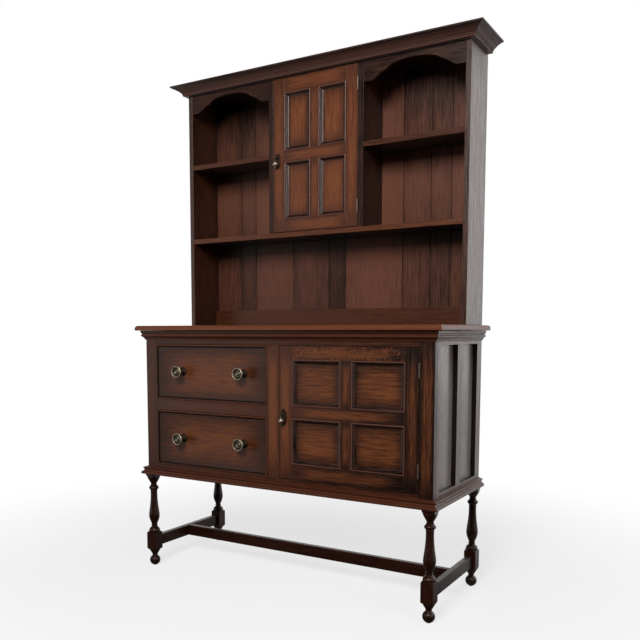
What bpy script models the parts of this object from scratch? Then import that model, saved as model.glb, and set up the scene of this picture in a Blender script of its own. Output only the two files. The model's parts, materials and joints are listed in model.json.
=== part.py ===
"""Oak kitchen dresser: a two-drawer, one-door base on turned legs, and a plate rack with a cupboard."""

import math

import bmesh
import bpy
from mathutils import Vector

# Clearances, in metres
CLEAR = 0.0003
DRAWER_GAP = 0.0010
DOOR_GAP = 0.0020
OVERRUN = 0.0040

# Base carcass
CARCASS_WIDTH = 1.160
CARCASS_DEPTH = 0.437
CARCASS_HEIGHT = 0.547
LEG_HEIGHT = 0.362
FRAME_THICK = 0.022
END_STILE = 0.048
CENTRE_STILE = 0.047
DRAWER_OPENING = 0.504
BOTTOM_RAIL = 0.042
TOP_RAIL = 0.050
MIDDLE_RAIL = 0.041
LOWER_OPENING = 0.208
SIDE_THICK = 0.016
SIDE_STILE = 0.046
SIDE_TOP_RAIL = 0.045
SIDE_MUNTIN = 0.042
SIDE_PANEL_THICK = 0.005
BACK_PANEL_THICK = 0.006
FLOOR_THICK = 0.012
PARTITION_THICK = 0.018

# Worktop and mouldings
WORKTOP_THICK = 0.018
WORKTOP_OUT = 0.030
WORKTOP_EDGE_IN = 0.009
WORKTOP_TIP = 0.004
WORKTOP_TIP_LOW = 0.002
TOP_MOULD_OUT = 0.015
TOP_MOULD_HEIGHT = 0.034
BASE_MOULD_OUT = 0.020
BASE_MOULD_HEIGHT = 0.030

# Legs and stretchers
LEG_SIZE = 0.042
LEG_INSET = 0.013
LEG_CAP_HEIGHT = 0.012
BLOCK_TOP = 0.134
BLOCK_BOTTOM = 0.062
SHOULDER = 0.006
LEG_STEPS = 18
SHARP_ANGLE = 40.0
STRETCHER_HEIGHT = 0.042
STRETCHER_THICK = 0.020
STRETCHER_BOTTOM = 0.074

# Drawers
DRAWER_FRONT_THICK = 0.020
DRAWER_BOARD = 0.012
DRAWER_LENGTH = 0.385
DRAWER_HEADROOM = 0.014
DRAWER_BOTTOM_THICK = 0.005
DRAWER_BOTTOM_RISE = 0.008
GROOVE_DEPTH = 0.005
RUNNER_HEIGHT = 0.022
RUNNER_LEDGE = 0.018
GUIDE_HEIGHT = 0.013
BEAD_WIDTH = 0.005
BEAD_ROUND = 0.0012
BEAD_RISE = 0.0022
QUIRK_WIDTH = 0.0012
FIELD_SLOPE = 0.005
FIELD_RECESS = 0.003

# Turned brass knobs
KNOB_LENGTH = 0.042
KNOB_RADIUS = 0.0225
KNOB_RISE = 0.003
KNOB_FROM_LEFT = 0.129
KNOB_FROM_RIGHT = 0.100
KNOB_STEPS = 20

# Doors
LOWER_DOOR_THICK = 0.020
UPPER_DOOR_THICK = 0.018
PANEL_RECESS = 0.009
PANEL_THICK = 0.005
REBATE_MARGIN = 0.012
PANEL_SLOPE = 0.009
LOWER_LOCK_STILE = 0.050
LOWER_HINGE_STILE = 0.046
LOWER_MUNTIN = 0.038
LOWER_DOOR_TOP_RAIL = 0.044
LOWER_DOOR_BOTTOM_RAIL = 0.050
UPPER_DOOR_STILE = 0.0465
UPPER_MUNTIN = 0.034
UPPER_DOOR_TOP_RAIL = 0.053
UPPER_DOOR_BOTTOM_RAIL = 0.045
UPPER_DOOR_MIDDLE_RAIL = 0.038

# Butt hinges
HINGE_HEIGHT = 0.045
HINGE_INSET = 0.070
BARREL_RADIUS = 0.0032
HINGE_PIN_RADIUS = 0.0014
LEAF_THICK = 0.0012
LEAF_GAP = 0.0004
LEAF_DEPTH = 0.015
HINGE_STEPS = 16

# Drop handles
PLATE_WIDTH = 0.026
PLATE_HEIGHT = 0.056
PLATE_THICK = 0.0022
HANDLE_INSET = 0.018
LOWER_HANDLE_DROP = 0.015
UPPER_HANDLE_DROP = 0.019
PIVOT_ABOVE_PLATE_MIDDLE = 0.013
PIVOT_OUT = 0.016
DROP_PIN_RADIUS = 0.0013
DROP_EYE_RADIUS = 0.0032
DROP_EYE_WIDTH = 0.0050
EAR_THICK = 0.0018
EAR_FOOT = 0.008
DROP_LENGTH = 0.025
DROP_BALL_RADIUS = 0.0105
DROP_STEM_RADIUS = 0.0020
DROP_COLLAR_RADIUS = 0.0028
DROP_FINIAL_RADIUS = 0.0030

# Plate rack
RACK_DEPTH = 0.168
RACK_SIDE_HEIGHT = 0.907
RACK_BOARD = 0.018
DIVIDER_THICK = 0.019
CUPBOARD_WIDTH = 0.355
LONG_SHELF_RISE = 0.329
SHORT_SHELF_RISE = 0.272
SHELF_SET_BACK = 0.001
BACKBOARD_THICK = 0.010
BACKBOARD_GROOVE = 0.003
BACK_RAIL_HEIGHT = 0.065
BACK_RAIL_THICK = 0.018
CORNICE_OUT = 0.052
CORNICE_HEIGHT = 0.035
VALANCE_THICK = 0.015
VALANCE_DROP = 0.070

# Where the planes of the dresser lie
KNOB_REACH = KNOB_LENGTH + CLEAR - FIELD_RECESS
BACK = (CARCASS_DEPTH + KNOB_REACH) / 2
FRONT = BACK - CARCASS_DEPTH
HALF_WIDTH = CARCASS_WIDTH / 2
CARCASS_TOP = LEG_HEIGHT + CARCASS_HEIGHT
OPENING_BOTTOM = LEG_HEIGHT + BOTTOM_RAIL
OPENING_TOP = CARCASS_TOP - TOP_RAIL
RAIL_BOTTOM = OPENING_BOTTOM + LOWER_OPENING
RAIL_TOP = RAIL_BOTTOM + MIDDLE_RAIL
DRAWER_LEFT = -HALF_WIDTH + END_STILE
DRAWER_RIGHT = DRAWER_LEFT + DRAWER_OPENING
DOORWAY_LEFT = DRAWER_RIGHT + CENTRE_STILE
DOORWAY_RIGHT = HALF_WIDTH - END_STILE
INNER_FRONT = FRONT + FRAME_THICK + CLEAR
INNER_BACK = BACK - BACK_PANEL_THICK - CLEAR
INNER_SIDE = HALF_WIDTH - SIDE_THICK - SIDE_PANEL_THICK - 2 * CLEAR
WORKTOP_TOP = CARCASS_TOP + CLEAR + WORKTOP_THICK
LEG_X = HALF_WIDTH - LEG_INSET
LEG_FRONT_Y = FRONT + LEG_INSET
LEG_BACK_Y = BACK - LEG_SIZE / 2
RACK_FRONT = BACK - RACK_DEPTH
RACK_BOTTOM = WORKTOP_TOP + CLEAR
RACK_TOP = RACK_BOTTOM + RACK_SIDE_HEIGHT
RACK_INNER = HALF_WIDTH - RACK_BOARD - CLEAR
RACK_BACK = BACK - BACKBOARD_THICK - CLEAR
LONG_SHELF_TOP = RACK_BOTTOM + LONG_SHELF_RISE + RACK_BOARD
SHORT_SHELF_BOTTOM = LONG_SHELF_TOP + SHORT_SHELF_RISE
DIVIDER_INNER = CUPBOARD_WIDTH / 2
DIVIDER_OUTER = DIVIDER_INNER + DIVIDER_THICK

# Turned leg from cap to block: radius as a share of the leg's width, depth as a share of the turning
BALUSTER_SHARES = (
    (0.595, 0.000), (0.493, 0.051), (0.357, 0.097), (0.252, 0.134), (0.290, 0.144),
    (0.290, 0.156), (0.262, 0.164), (0.350, 0.178), (0.425, 0.194), (0.440, 0.208),
    (0.420, 0.222), (0.345, 0.236), (0.325, 0.250), (0.310, 0.266), (0.305, 0.330),
    (0.325, 0.430), (0.375, 0.530), (0.440, 0.620), (0.482, 0.690), (0.475, 0.735),
    (0.400, 0.795), (0.285, 0.850), (0.240, 0.875), (0.285, 0.884), (0.285, 0.900),
    (0.235, 0.910), (0.300, 0.922), (0.430, 0.945), (0.490, 0.970), (0.497, 1.000),
)
FOOT_SHARES = (
    (0.490, 0.000), (0.400, 0.120), (0.290, 0.240), (0.240, 0.320), (0.240, 0.390),
    (0.365, 0.470), (0.447, 0.567), (0.476, 0.677), (0.447, 0.788), (0.365, 0.885),
    (0.238, 0.957), (0.150, 1.000),
)
# Radius of the square stock's corner as a share of its width, with a little over
STOCK_CORNER_SHARE = 0.74

# Mouldings: how far out as a share of the reach, and how high as a share of the height
WORKTOP_EDGE_SHARES = ((0.45, 0.06), (0.76, 0.34), (0.93, 0.70))
TOP_MOULD_SHARES = (
    (1.00, 1.00), (1.00, 0.77), (0.84, 0.74), (0.76, 0.67), (0.74, 0.58), (0.88, 0.53),
    (0.93, 0.46), (0.88, 0.38), (0.70, 0.33), (0.58, 0.30), (0.40, 0.21), (0.27, 0.12),
    (0.20, 0.00),
)
BASE_MOULD_SHARES = (
    (0.15, 1.00), (0.28, 0.93), (0.60, 0.88), (0.72, 0.83), (0.72, 0.74), (0.62, 0.67),
    (0.57, 0.56), (0.60, 0.46), (0.72, 0.38), (0.92, 0.30), (1.00, 0.20), (1.00, 0.03),
    (0.96, 0.00),
)
CORNICE_SHARES = (
    (1.00, 1.00), (1.00, 0.84), (0.86, 0.82), (0.83, 0.78), (0.68, 0.67), (0.55, 0.54),
    (0.45, 0.40), (0.39, 0.32), (0.35, 0.31), (0.37, 0.26), (0.36, 0.21), (0.31, 0.19),
    (0.33, 0.12), (0.31, 0.04), (0.27, 0.00),
)

# Valance: places across as shares of half the bay, depths as shares of the drop
ARCH_SPAN_SHARE = 0.53
ARCH_CROWN_SHARE = 0.26
ARCH_FOOT_SHARE = 0.57
ARCH_ROUND_SHARE = 0.96
LOBE_SHARE = 0.60
HOOK_SHARE = 0.87
ARCH_STEPS = 10
LOBE_STEPS = 7

# Joints between the backboards as shares of the rack's inner width
BACKBOARD_JOINT_SHARES = (0.108, 0.174, 0.334, 0.476, 0.542, 0.750, 0.845, 0.913)

# Knob outline: radius as a share of the knob's radius, place along it as a share of its length
KNOB_SHARES = (
    (0.16, 0.99), (0.24, 0.96), (0.32, 0.92), (0.58, 0.92), (0.70, 0.97), (0.84, 1.00),
    (0.96, 0.98), (1.00, 0.92), (0.98, 0.84), (0.78, 0.76), (0.42, 0.70), (0.28, 0.56),
    (0.29, 0.34), (0.40, 0.22), (0.44, 0.14), (0.60, 0.11), (0.69, 0.06), (0.70, 0.00),
)
# Drop outline below the eye: radius as a share of the ball's, depth as a share of the drop's length
NECK_TOP_SHARE = 0.20
NECK_LOW_SHARE = 0.46
BALL_ARC_STEPS = 8
BALL_ARC_START = 22.0
BALL_ARC_END = 158.0
PLATE_DOME_SHARE = 0.86
PLATE_STEPS = 28
KNUCKLES = 3


def remove_old_objects():
    for old in list(bpy.data.objects):
        bpy.data.objects.remove(old, do_unlink=True)


def new_collection(name):
    collection = bpy.data.collections.new(name)
    bpy.context.scene.collection.children.link(collection)
    return collection


remove_old_objects()
DRESSER = new_collection("kitchen_dresser")
CUTTERS = new_collection("cutters")


# Materials
def make_material(name, colour, roughness, metallic):
    material = bpy.data.materials.new(name)
    material.use_nodes = True
    shader = material.node_tree.nodes["Principled BSDF"]
    shader.inputs["Base Color"].default_value = (*colour, 1.0)
    shader.inputs["Roughness"].default_value = roughness
    shader.inputs["Metallic"].default_value = metallic
    material.diffuse_color = (*colour, 1.0)
    return material


OAK = make_material("dark_stained_oak", (0.052, 0.022, 0.015), 0.42, 0.0)
OAK_FRONT = make_material("rubbed_oak_fronts", (0.085, 0.033, 0.019), 0.38, 0.0)
OAK_BACK = make_material("oak_backboards", (0.070, 0.036, 0.028), 0.50, 0.0)
PLAIN_WOOD = make_material("unpolished_drawer_wood", (0.330, 0.205, 0.110), 0.70, 0.0)
PLYWOOD = make_material("plywood_back", (0.200, 0.115, 0.065), 0.75, 0.0)
BRASS = make_material("aged_brass", (0.300, 0.245, 0.170), 0.35, 1.0)
DARK_BRASS = make_material("darkened_hinge_brass", (0.105, 0.070, 0.042), 0.50, 1.0)


# Shared ways of making pieces
def add_object(name, mesh_data, material, origin=(0.0, 0.0, 0.0), collection=None):
    """Place a bmesh made in world coordinates as an object whose origin is at the given point."""
    origin = Vector(origin)
    bmesh.ops.translate(mesh_data, vec=-origin, verts=mesh_data.verts[:])
    bmesh.ops.recalc_face_normals(mesh_data, faces=mesh_data.faces[:])
    mesh = bpy.data.meshes.new(name)
    mesh_data.to_mesh(mesh)
    mesh_data.free()
    piece = bpy.data.objects.new(name, mesh)
    piece.location = origin
    if material is not None:
        mesh.materials.append(material)
    (collection or DRESSER).objects.link(piece)
    return piece


def box_mesh(low, high):
    mesh_data = bmesh.new()
    bmesh.ops.create_cube(mesh_data, size=1.0)
    low = Vector(low)
    high = Vector(high)
    bmesh.ops.scale(mesh_data, vec=high - low, verts=mesh_data.verts[:])
    bmesh.ops.translate(mesh_data, vec=(low + high) / 2, verts=mesh_data.verts[:])
    return mesh_data


def board(name, low, high, material, origin=None):
    centre = (Vector(low) + Vector(high)) / 2
    return add_object(name, box_mesh(low, high), material, centre if origin is None else origin)


def as_cutter(tool):
    tool.hide_render = True
    tool.display_type = "WIRE"
    return tool


def box_cutter(name, low, high):
    return as_cutter(add_object(name, box_mesh(low, high), None, collection=CUTTERS))


def combine(piece, tool, operation):
    modifier = piece.modifiers.new(tool.name, "BOOLEAN")
    modifier.object = tool
    modifier.operation = operation
    modifier.solver = "EXACT"
    return piece


def stacked(sections):
    """A solid drawn through flat sections that all have the same number of points."""
    mesh_data = bmesh.new()
    face = mesh_data.faces.new([mesh_data.verts.new(point) for point in sections[0]])
    for section in sections[1:]:
        extruded = bmesh.ops.extrude_face_region(mesh_data, geom=[face, *face.edges])
        face = next(item for item in extruded["geom"] if isinstance(item, bmesh.types.BMFace))
        for corner, point in zip(face.verts, section):
            corner.co = point
    return mesh_data


def prism(outline, axis, start, end):
    """Extrude a flat outline along an axis; its points are given in the other two axes, in order."""
    def place(point, along):
        values = list(point)
        values.insert("XYZ".index(axis), along)
        return values

    return stacked([[place(point, along) for point in outline] for along in (start, end)])


def mitred_run(profile, stations):
    """Sweep a profile of (out, height) points along stations of (corner, outward direction)."""
    def place(station, point):
        corner, outward = station
        out, height = point
        return corner[0] + out * outward[0], corner[1] + out * outward[1], height

    return stacked([[place(station, point) for point in profile] for station in stations])


def around_front(half_width, front, back):
    """Stations of a moulding that runs along the left side, the front and the right side."""
    return (
        ((-half_width, back), (-1.0, 0.0)),
        ((-half_width, front), (-1.0, -1.0)),
        ((half_width, front), (1.0, -1.0)),
        ((half_width, back), (1.0, 0.0)),
    )


def moulding(name, shares, reach, bottom, height, stations):
    """A mitred moulding whose back lies a clearance off the carcass."""
    profile = [(max(out * reach, 2 * CLEAR), bottom + up * height) for out, up in shares]
    profile.append((CLEAR, bottom))
    profile.insert(0, (CLEAR, bottom + height))
    return add_object(name, mitred_run(profile, stations), OAK)


def framed(low, high, openings, steps, through):
    """A slab whose front, facing -Y, has stepped borders round its openings."""
    mesh_data = box_mesh(low, high)
    for axis, first, last in ((0, 0, 1), (2, 2, 3)):
        normal = Vector((0.0, 0.0, 0.0))
        normal[axis] = 1.0
        for place in sorted({opening[i] for opening in openings for i in (first, last)}):
            geometry = mesh_data.verts[:] + mesh_data.edges[:] + mesh_data.faces[:]
            bmesh.ops.bisect_plane(mesh_data, geom=geometry, plane_co=normal * place, plane_no=normal)
    for left, right, bottom, top in openings:
        ends = []
        for facing in (-1, 1):
            faces = [
                face for face in mesh_data.faces
                if round(face.normal.y) == facing
                and left < face.calc_center_median().x < right
                and bottom < face.calc_center_median().z < top
            ]
            if len(faces) > 1:
                faces = bmesh.ops.dissolve_faces(mesh_data, faces=faces)["region"]
            ends.append(faces[0])
        for width, rise in steps:
            bmesh.ops.inset_individual(
                mesh_data, faces=[ends[0]], thickness=width, depth=rise, use_even_offset=True
            )
        if through:
            border = sum(width for width, rise in steps)
            if border > 0.0:
                bmesh.ops.inset_individual(
                    mesh_data, faces=[ends[1]], thickness=border, depth=0.0, use_even_offset=True
                )
            edges = [edge for end in ends for edge in end.edges]
            bmesh.ops.delete(mesh_data, geom=ends, context="FACES_ONLY")
            bmesh.ops.bridge_loops(mesh_data, edges=edges)
    return mesh_data


def evaluated_copy(piece):
    """The mesh of a piece after its modifiers, with doubled points merged."""
    depsgraph = bpy.context.evaluated_depsgraph_get()
    mesh = bpy.data.meshes.new_from_object(piece.evaluated_get(depsgraph))
    mesh_data = bmesh.new()
    mesh_data.from_mesh(mesh)
    bmesh.ops.remove_doubles(mesh_data, verts=mesh_data.verts[:], dist=CLEAR / 100)
    mesh_data.to_mesh(mesh)
    mesh_data.free()
    return mesh


def turned(name, outline, steps, material, origin=(0.0, 0.0, 0.0), collection=None):
    """Turn an outline of (radius, height) points, listed from top to bottom, about a vertical axis."""
    mesh = bpy.data.meshes.new(name)
    points = [(radius, 0.0, height) for radius, height in outline]
    mesh.from_pydata(points, [(i, i + 1) for i in range(len(points) - 1)], [])
    if material is not None:
        mesh.materials.append(material)
    piece = bpy.data.objects.new(name, mesh)
    (collection or DRESSER).objects.link(piece)
    piece.location = origin
    screw = piece.modifiers.new("turning", "SCREW")
    screw.axis = "Z"
    screw.steps = steps
    screw.render_steps = steps
    screw.use_merge_vertices = True
    screw.merge_threshold = CLEAR / 10
    screw.use_smooth_shade = True
    return piece


def attach(child, parent):
    bpy.context.view_layer.update()
    child.parent = parent
    child.matrix_parent_inverse = parent.matrix_world.inverted()


# Legs: square oak stock turned on a lathe, with a cap, a baluster, a stretcher block and a ball foot
def leg_outline():
    top = LEG_HEIGHT - CLEAR
    stock = LEG_SIZE * STOCK_CORNER_SHARE
    cap = LEG_HEIGHT - LEG_CAP_HEIGHT
    outline = [(0.0, top + OVERRUN), (stock, top + OVERRUN), (stock, cap + SHOULDER)]
    for radius, depth in BALUSTER_SHARES:
        outline.append((radius * LEG_SIZE, cap - depth * (cap - BLOCK_TOP)))
    outline += [(stock, BLOCK_TOP - SHOULDER), (stock, BLOCK_BOTTOM + SHOULDER)]
    for radius, depth in FOOT_SHARES:
        outline.append((radius * LEG_SIZE, BLOCK_BOTTOM * (1 - depth)))
    return outline + [(0.0, 0.0)]


def leg_mesh():
    lathe = as_cutter(turned("leg_lathe_envelope", leg_outline(), LEG_STEPS, None, collection=CUTTERS))
    half = LEG_SIZE / 2
    stock = box_mesh((-half, -half, -OVERRUN), (half, half, LEG_HEIGHT - CLEAR))
    leg = combine(add_object("leg_stock", stock, OAK), lathe, "INTERSECT")
    mesh = evaluated_copy(leg)
    bpy.data.objects.remove(leg)
    mesh.name = "turned_leg"
    mesh.shade_smooth()
    mesh.set_sharp_from_angle(angle=math.radians(SHARP_ANGLE))
    return mesh


def make_legs():
    mesh = leg_mesh()
    for side, x in (("left", -LEG_X), ("right", LEG_X)):
        for end, y in (("front", LEG_FRONT_Y), ("back", LEG_BACK_Y)):
            leg = bpy.data.objects.new(f"leg_{end}_{side}", mesh)
            leg.location = (x, y, 0.0)
            DRESSER.objects.link(leg)


# Stretchers: a bar between the blocks on each side, and one long bar that joins their middles
def make_stretchers():
    half = STRETCHER_THICK / 2
    bottom = STRETCHER_BOTTOM
    top = bottom + STRETCHER_HEIGHT
    reach = LEG_SIZE / 2 + CLEAR
    for side, x in (("left", -LEG_X), ("right", LEG_X)):
        board(
            f"side_stretcher_{side}",
            (x - half, LEG_FRONT_Y + reach, bottom), (x + half, LEG_BACK_Y - reach, top), OAK,
        )
    middle = (LEG_FRONT_Y + LEG_BACK_Y) / 2
    end = LEG_X - half - CLEAR
    board("centre_stretcher", (-end, middle - half, bottom), (end, middle + half, top), OAK)


# Front frame: stiles and rails round two drawer openings and a doorway
def make_front_frame():
    low = (-HALF_WIDTH, FRONT, LEG_HEIGHT)
    high = (HALF_WIDTH, FRONT + FRAME_THICK, CARCASS_TOP)
    frame = add_object("base_front_frame", box_mesh(low, high), OAK)
    openings = {
        "upper_drawer_opening": (DRAWER_LEFT, RAIL_TOP, DRAWER_RIGHT, OPENING_TOP),
        "lower_drawer_opening": (DRAWER_LEFT, OPENING_BOTTOM, DRAWER_RIGHT, RAIL_BOTTOM),
        "doorway": (DOORWAY_LEFT, OPENING_BOTTOM, DOORWAY_RIGHT, OPENING_TOP),
    }
    for name, (left, bottom, right, top) in openings.items():
        cutter_low = (left, FRONT - OVERRUN, bottom)
        cutter_high = (right, FRONT + FRAME_THICK + OVERRUN, top)
        combine(frame, box_cutter(name, cutter_low, cutter_high), "DIFFERENCE")
    return frame


# Sides: a frame with two tall openings, backed by a thin panel
def side_frame_mesh(sign):
    """Made facing -Y and turned to face outwards."""
    length = BACK - INNER_FRONT
    first_stile = SIDE_STILE - FRAME_THICK - CLEAR
    opening = (length - first_stile - SIDE_MUNTIN - SIDE_STILE) / 2
    bottom = OPENING_BOTTOM
    top = CARCASS_TOP - SIDE_TOP_RAIL
    spans = (
        (first_stile, first_stile + opening, bottom, top),
        (first_stile + opening + SIDE_MUNTIN, length - SIDE_STILE, bottom, top),
    )
    mesh_data = framed((0.0, 0.0, LEG_HEIGHT), (length, SIDE_THICK, CARCASS_TOP), spans, (), True)
    for point in mesh_data.verts:
        along, inward, up = point.co
        point.co = (sign * (HALF_WIDTH - inward), INNER_FRONT + along, up)
    return mesh_data


def make_sides():
    for side, sign in (("left", -1), ("right", 1)):
        add_object(f"base_side_frame_{side}", side_frame_mesh(sign), OAK)
        outer = sign * (INNER_SIDE + SIDE_PANEL_THICK)
        inner = sign * INNER_SIDE
        board(
            f"base_side_panel_{side}",
            (min(outer, inner), INNER_FRONT, LEG_HEIGHT), (max(outer, inner), BACK, CARCASS_TOP), OAK,
        )


# Inside of the base: back panel, floor and the partition between the drawers and the cupboard
def make_carcass_inside():
    side = INNER_SIDE - CLEAR
    floor_top = OPENING_BOTTOM
    board(
        "base_back_panel",
        (-side, BACK - BACK_PANEL_THICK, LEG_HEIGHT), (side, BACK, CARCASS_TOP), PLYWOOD,
    )
    board(
        "base_floor",
        (-side, INNER_FRONT, floor_top - FLOOR_THICK), (side, INNER_BACK, floor_top), PLAIN_WOOD,
    )
    board(
        "base_partition",
        (DRAWER_RIGHT, INNER_FRONT, floor_top + CLEAR),
        (DRAWER_RIGHT + PARTITION_THICK, INNER_BACK, CARCASS_TOP), PLAIN_WOOD,
    )


# Runners: the drawers slide on ledges and are kept straight by the guides beside them
def make_runners():
    wall = -INNER_SIDE + CLEAR
    ledge = DRAWER_LEFT + RUNNER_LEDGE
    top = RAIL_TOP
    outline = (
        (wall, top - RUNNER_HEIGHT), (ledge, top - RUNNER_HEIGHT), (ledge, top),
        (DRAWER_LEFT, top), (DRAWER_LEFT, top + GUIDE_HEIGHT), (wall, top + GUIDE_HEIGHT),
    )
    runner = prism(outline, "Y", INNER_FRONT, INNER_BACK)
    add_object("upper_drawer_runner_left", runner, PLAIN_WOOD)
    board(
        "upper_drawer_runner_right",
        (DRAWER_RIGHT - RUNNER_LEDGE, INNER_FRONT, top - RUNNER_HEIGHT),
        (DRAWER_RIGHT - CLEAR, INNER_BACK, top), PLAIN_WOOD,
    )
    board(
        "lower_drawer_guide_left",
        (wall, INNER_FRONT, OPENING_BOTTOM + CLEAR),
        (DRAWER_LEFT, INNER_BACK, OPENING_BOTTOM + CLEAR + GUIDE_HEIGHT), PLAIN_WOOD,
    )


# Mouldings and worktop
def make_base_mouldings():
    stations = around_front(HALF_WIDTH, FRONT, BACK)
    moulding("base_moulding", BASE_MOULD_SHARES, BASE_MOULD_OUT, LEG_HEIGHT, BASE_MOULD_HEIGHT, stations)
    bottom = CARCASS_TOP - TOP_MOULD_HEIGHT
    moulding("worktop_moulding", TOP_MOULD_SHARES, TOP_MOULD_OUT, bottom, TOP_MOULD_HEIGHT, stations)


def worktop_levels():
    """How far out the board's edge lies at each height, from its underside up."""
    bottom = CARCASS_TOP + CLEAR
    edge_bottom = bottom + WORKTOP_TIP_LOW + WORKTOP_TIP
    edge_height = bottom + WORKTOP_THICK - edge_bottom
    levels = [(WORKTOP_OUT - WORKTOP_TIP_LOW, bottom), (WORKTOP_OUT, bottom + WORKTOP_TIP_LOW)]
    levels.append((WORKTOP_OUT, edge_bottom))
    for inward, up in reversed([(1 - out, 1 - down) for out, down in WORKTOP_EDGE_SHARES]):
        levels.append((WORKTOP_OUT - inward * WORKTOP_EDGE_IN, edge_bottom + up * edge_height))
    levels.append((WORKTOP_OUT - WORKTOP_EDGE_IN, bottom + WORKTOP_THICK))
    return levels


def make_worktop():
    def corners(out, height):
        side = HALF_WIDTH + out
        front = FRONT - out
        return (-side, BACK, height), (-side, front, height), (side, front, height), (side, BACK, height)

    add_object("worktop", stacked([corners(out, height) for out, height in worktop_levels()]), OAK)


# Drawers: a front with a raised bead round its field, a box of sides and back, and a loose bottom
def make_drawer(name, opening_bottom, opening_top):
    left = DRAWER_LEFT + DRAWER_GAP
    right = DRAWER_RIGHT - DRAWER_GAP
    bottom = opening_bottom + DRAWER_GAP
    top = opening_top - DRAWER_GAP
    back_face = FRONT + DRAWER_FRONT_THICK
    origin = ((left + right) / 2, FRONT, (bottom + top) / 2)
    steps = (
        (BEAD_ROUND, BEAD_RISE), (BEAD_WIDTH - 2 * BEAD_ROUND, 0.0), (BEAD_ROUND, -BEAD_RISE),
        (QUIRK_WIDTH, 0.0), (FIELD_SLOPE, -FIELD_RECESS),
    )
    field = (left, right, bottom, top)
    front_mesh = framed((left, FRONT, bottom), (right, back_face, top), (field,), steps, False)
    front = add_object(f"{name}_front", front_mesh, OAK_FRONT, origin)

    box_bottom = opening_bottom + CLEAR
    box_top = opening_top - DRAWER_HEADROOM
    box_front = back_face + CLEAR
    box_back = box_front + DRAWER_LENGTH
    profile = ((0.0, box_bottom), (0.0, box_top), (-DRAWER_BOARD, box_top), (-DRAWER_BOARD, box_bottom))
    stations = (
        ((left, box_front), (-1.0, 0.0)), ((left, box_back), (-1.0, 1.0)),
        ((right, box_back), (1.0, 1.0)), ((right, box_front), (1.0, 0.0)),
    )
    box = add_object(f"{name}_box", mitred_run(profile, stations), PLAIN_WOOD, origin)

    inset = DRAWER_BOARD - GROOVE_DEPTH
    low = Vector((left + inset, back_face - GROOVE_DEPTH, box_bottom + DRAWER_BOTTOM_RISE))
    high = Vector((right - inset, box_back - inset, low.z + DRAWER_BOTTOM_THICK))
    room = Vector((CLEAR, CLEAR, CLEAR))
    groove = box_cutter(f"{name}_bottom_groove", low - room, high + room)
    combine(front, groove, "DIFFERENCE")
    combine(box, groove, "DIFFERENCE")
    panel = board(f"{name}_bottom", low, high, PLAIN_WOOD, origin)
    attach(box, front)
    attach(panel, front)

    knob_outline = [(0.0, KNOB_LENGTH)]
    knob_outline += [(radius * KNOB_RADIUS, place * KNOB_LENGTH) for radius, place in KNOB_SHARES]
    knob_outline.append((0.0, 0.0))
    seat = FRONT + FIELD_RECESS - CLEAR
    for side, x in (("left", DRAWER_LEFT + KNOB_FROM_LEFT), ("right", DRAWER_RIGHT - KNOB_FROM_RIGHT)):
        place = (x, seat, origin[2] + KNOB_RISE)
        knob = turned(f"{name}_knob_{side}", knob_outline, KNOB_STEPS, BRASS, place)
        knob.rotation_euler = (math.pi / 2, 0.0, 0.0)
        attach(knob, front)


# Butt hinges: the fixed leaf carries the pin and the outer knuckles, the door leaf the middle one
def cylinder_mesh(radius, bottom, top, steps=HINGE_STEPS):
    mesh_data = bmesh.new()
    bmesh.ops.create_cone(
        mesh_data, cap_ends=True, segments=steps, radius1=radius, radius2=radius, depth=top - bottom
    )
    bmesh.ops.translate(mesh_data, vec=(0.0, 0.0, (bottom + top) / 2), verts=mesh_data.verts[:])
    return mesh_data


def tool_at(name, mesh_data, origin):
    """A hidden tool whose mesh is given about its own origin."""
    tool = as_cutter(add_object(name, mesh_data, None, collection=CUTTERS))
    tool.location = origin
    return tool


def hinge_mortise_depth():
    return LEAF_GAP / 2 + LEAF_THICK + CLEAR - DOOR_GAP / 2


def make_hinge(name, axis_x, face_y, middle, door):
    axis_y = face_y - BARREL_RADIUS - CLEAR
    origin = (axis_x, axis_y, middle)
    half = HINGE_HEIGHT / 2
    knuckle = HINGE_HEIGHT / KNUCKLES
    leaf_start = face_y - axis_y
    leaf_end = leaf_start + LEAF_DEPTH
    near = LEAF_GAP / 2
    far = near + LEAF_THICK
    spans = {
        "fixed_leaf": (1, ((-half, -half + knuckle - CLEAR), (half - knuckle + CLEAR, half))),
        "door_leaf": (-1, ((-half + knuckle, half - knuckle),)),
    }
    for part, (sign, knuckles) in spans.items():
        low_x, high_x = sorted((sign * near, sign * far))
        plate = box_mesh((low_x, leaf_start, -half), (high_x, leaf_end, half))
        leaf = add_object(f"{name}_{part}", plate, DARK_BRASS)
        leaf.location = origin
        for number, (bottom, top) in enumerate(knuckles):
            neck = box_mesh((low_x, 0.0, bottom), (high_x, leaf_start + LEAF_THICK, top))
            combine(leaf, tool_at(f"{name}_{part}_neck_{number}", neck, origin), "UNION")
            barrel = cylinder_mesh(BARREL_RADIUS, bottom, top)
            combine(leaf, tool_at(f"{name}_{part}_barrel_{number}", barrel, origin), "UNION")
        if sign > 0:
            pin = cylinder_mesh(HINGE_PIN_RADIUS, -half + CLEAR, half - CLEAR)
            combine(leaf, tool_at(f"{name}_pin", pin, origin), "UNION")
        else:
            bore = cylinder_mesh(HINGE_PIN_RADIUS + CLEAR, -half - OVERRUN, half + OVERRUN)
            combine(leaf, tool_at(f"{name}_pin_bore", bore, origin), "DIFFERENCE")
            attach(leaf, door)


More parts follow.
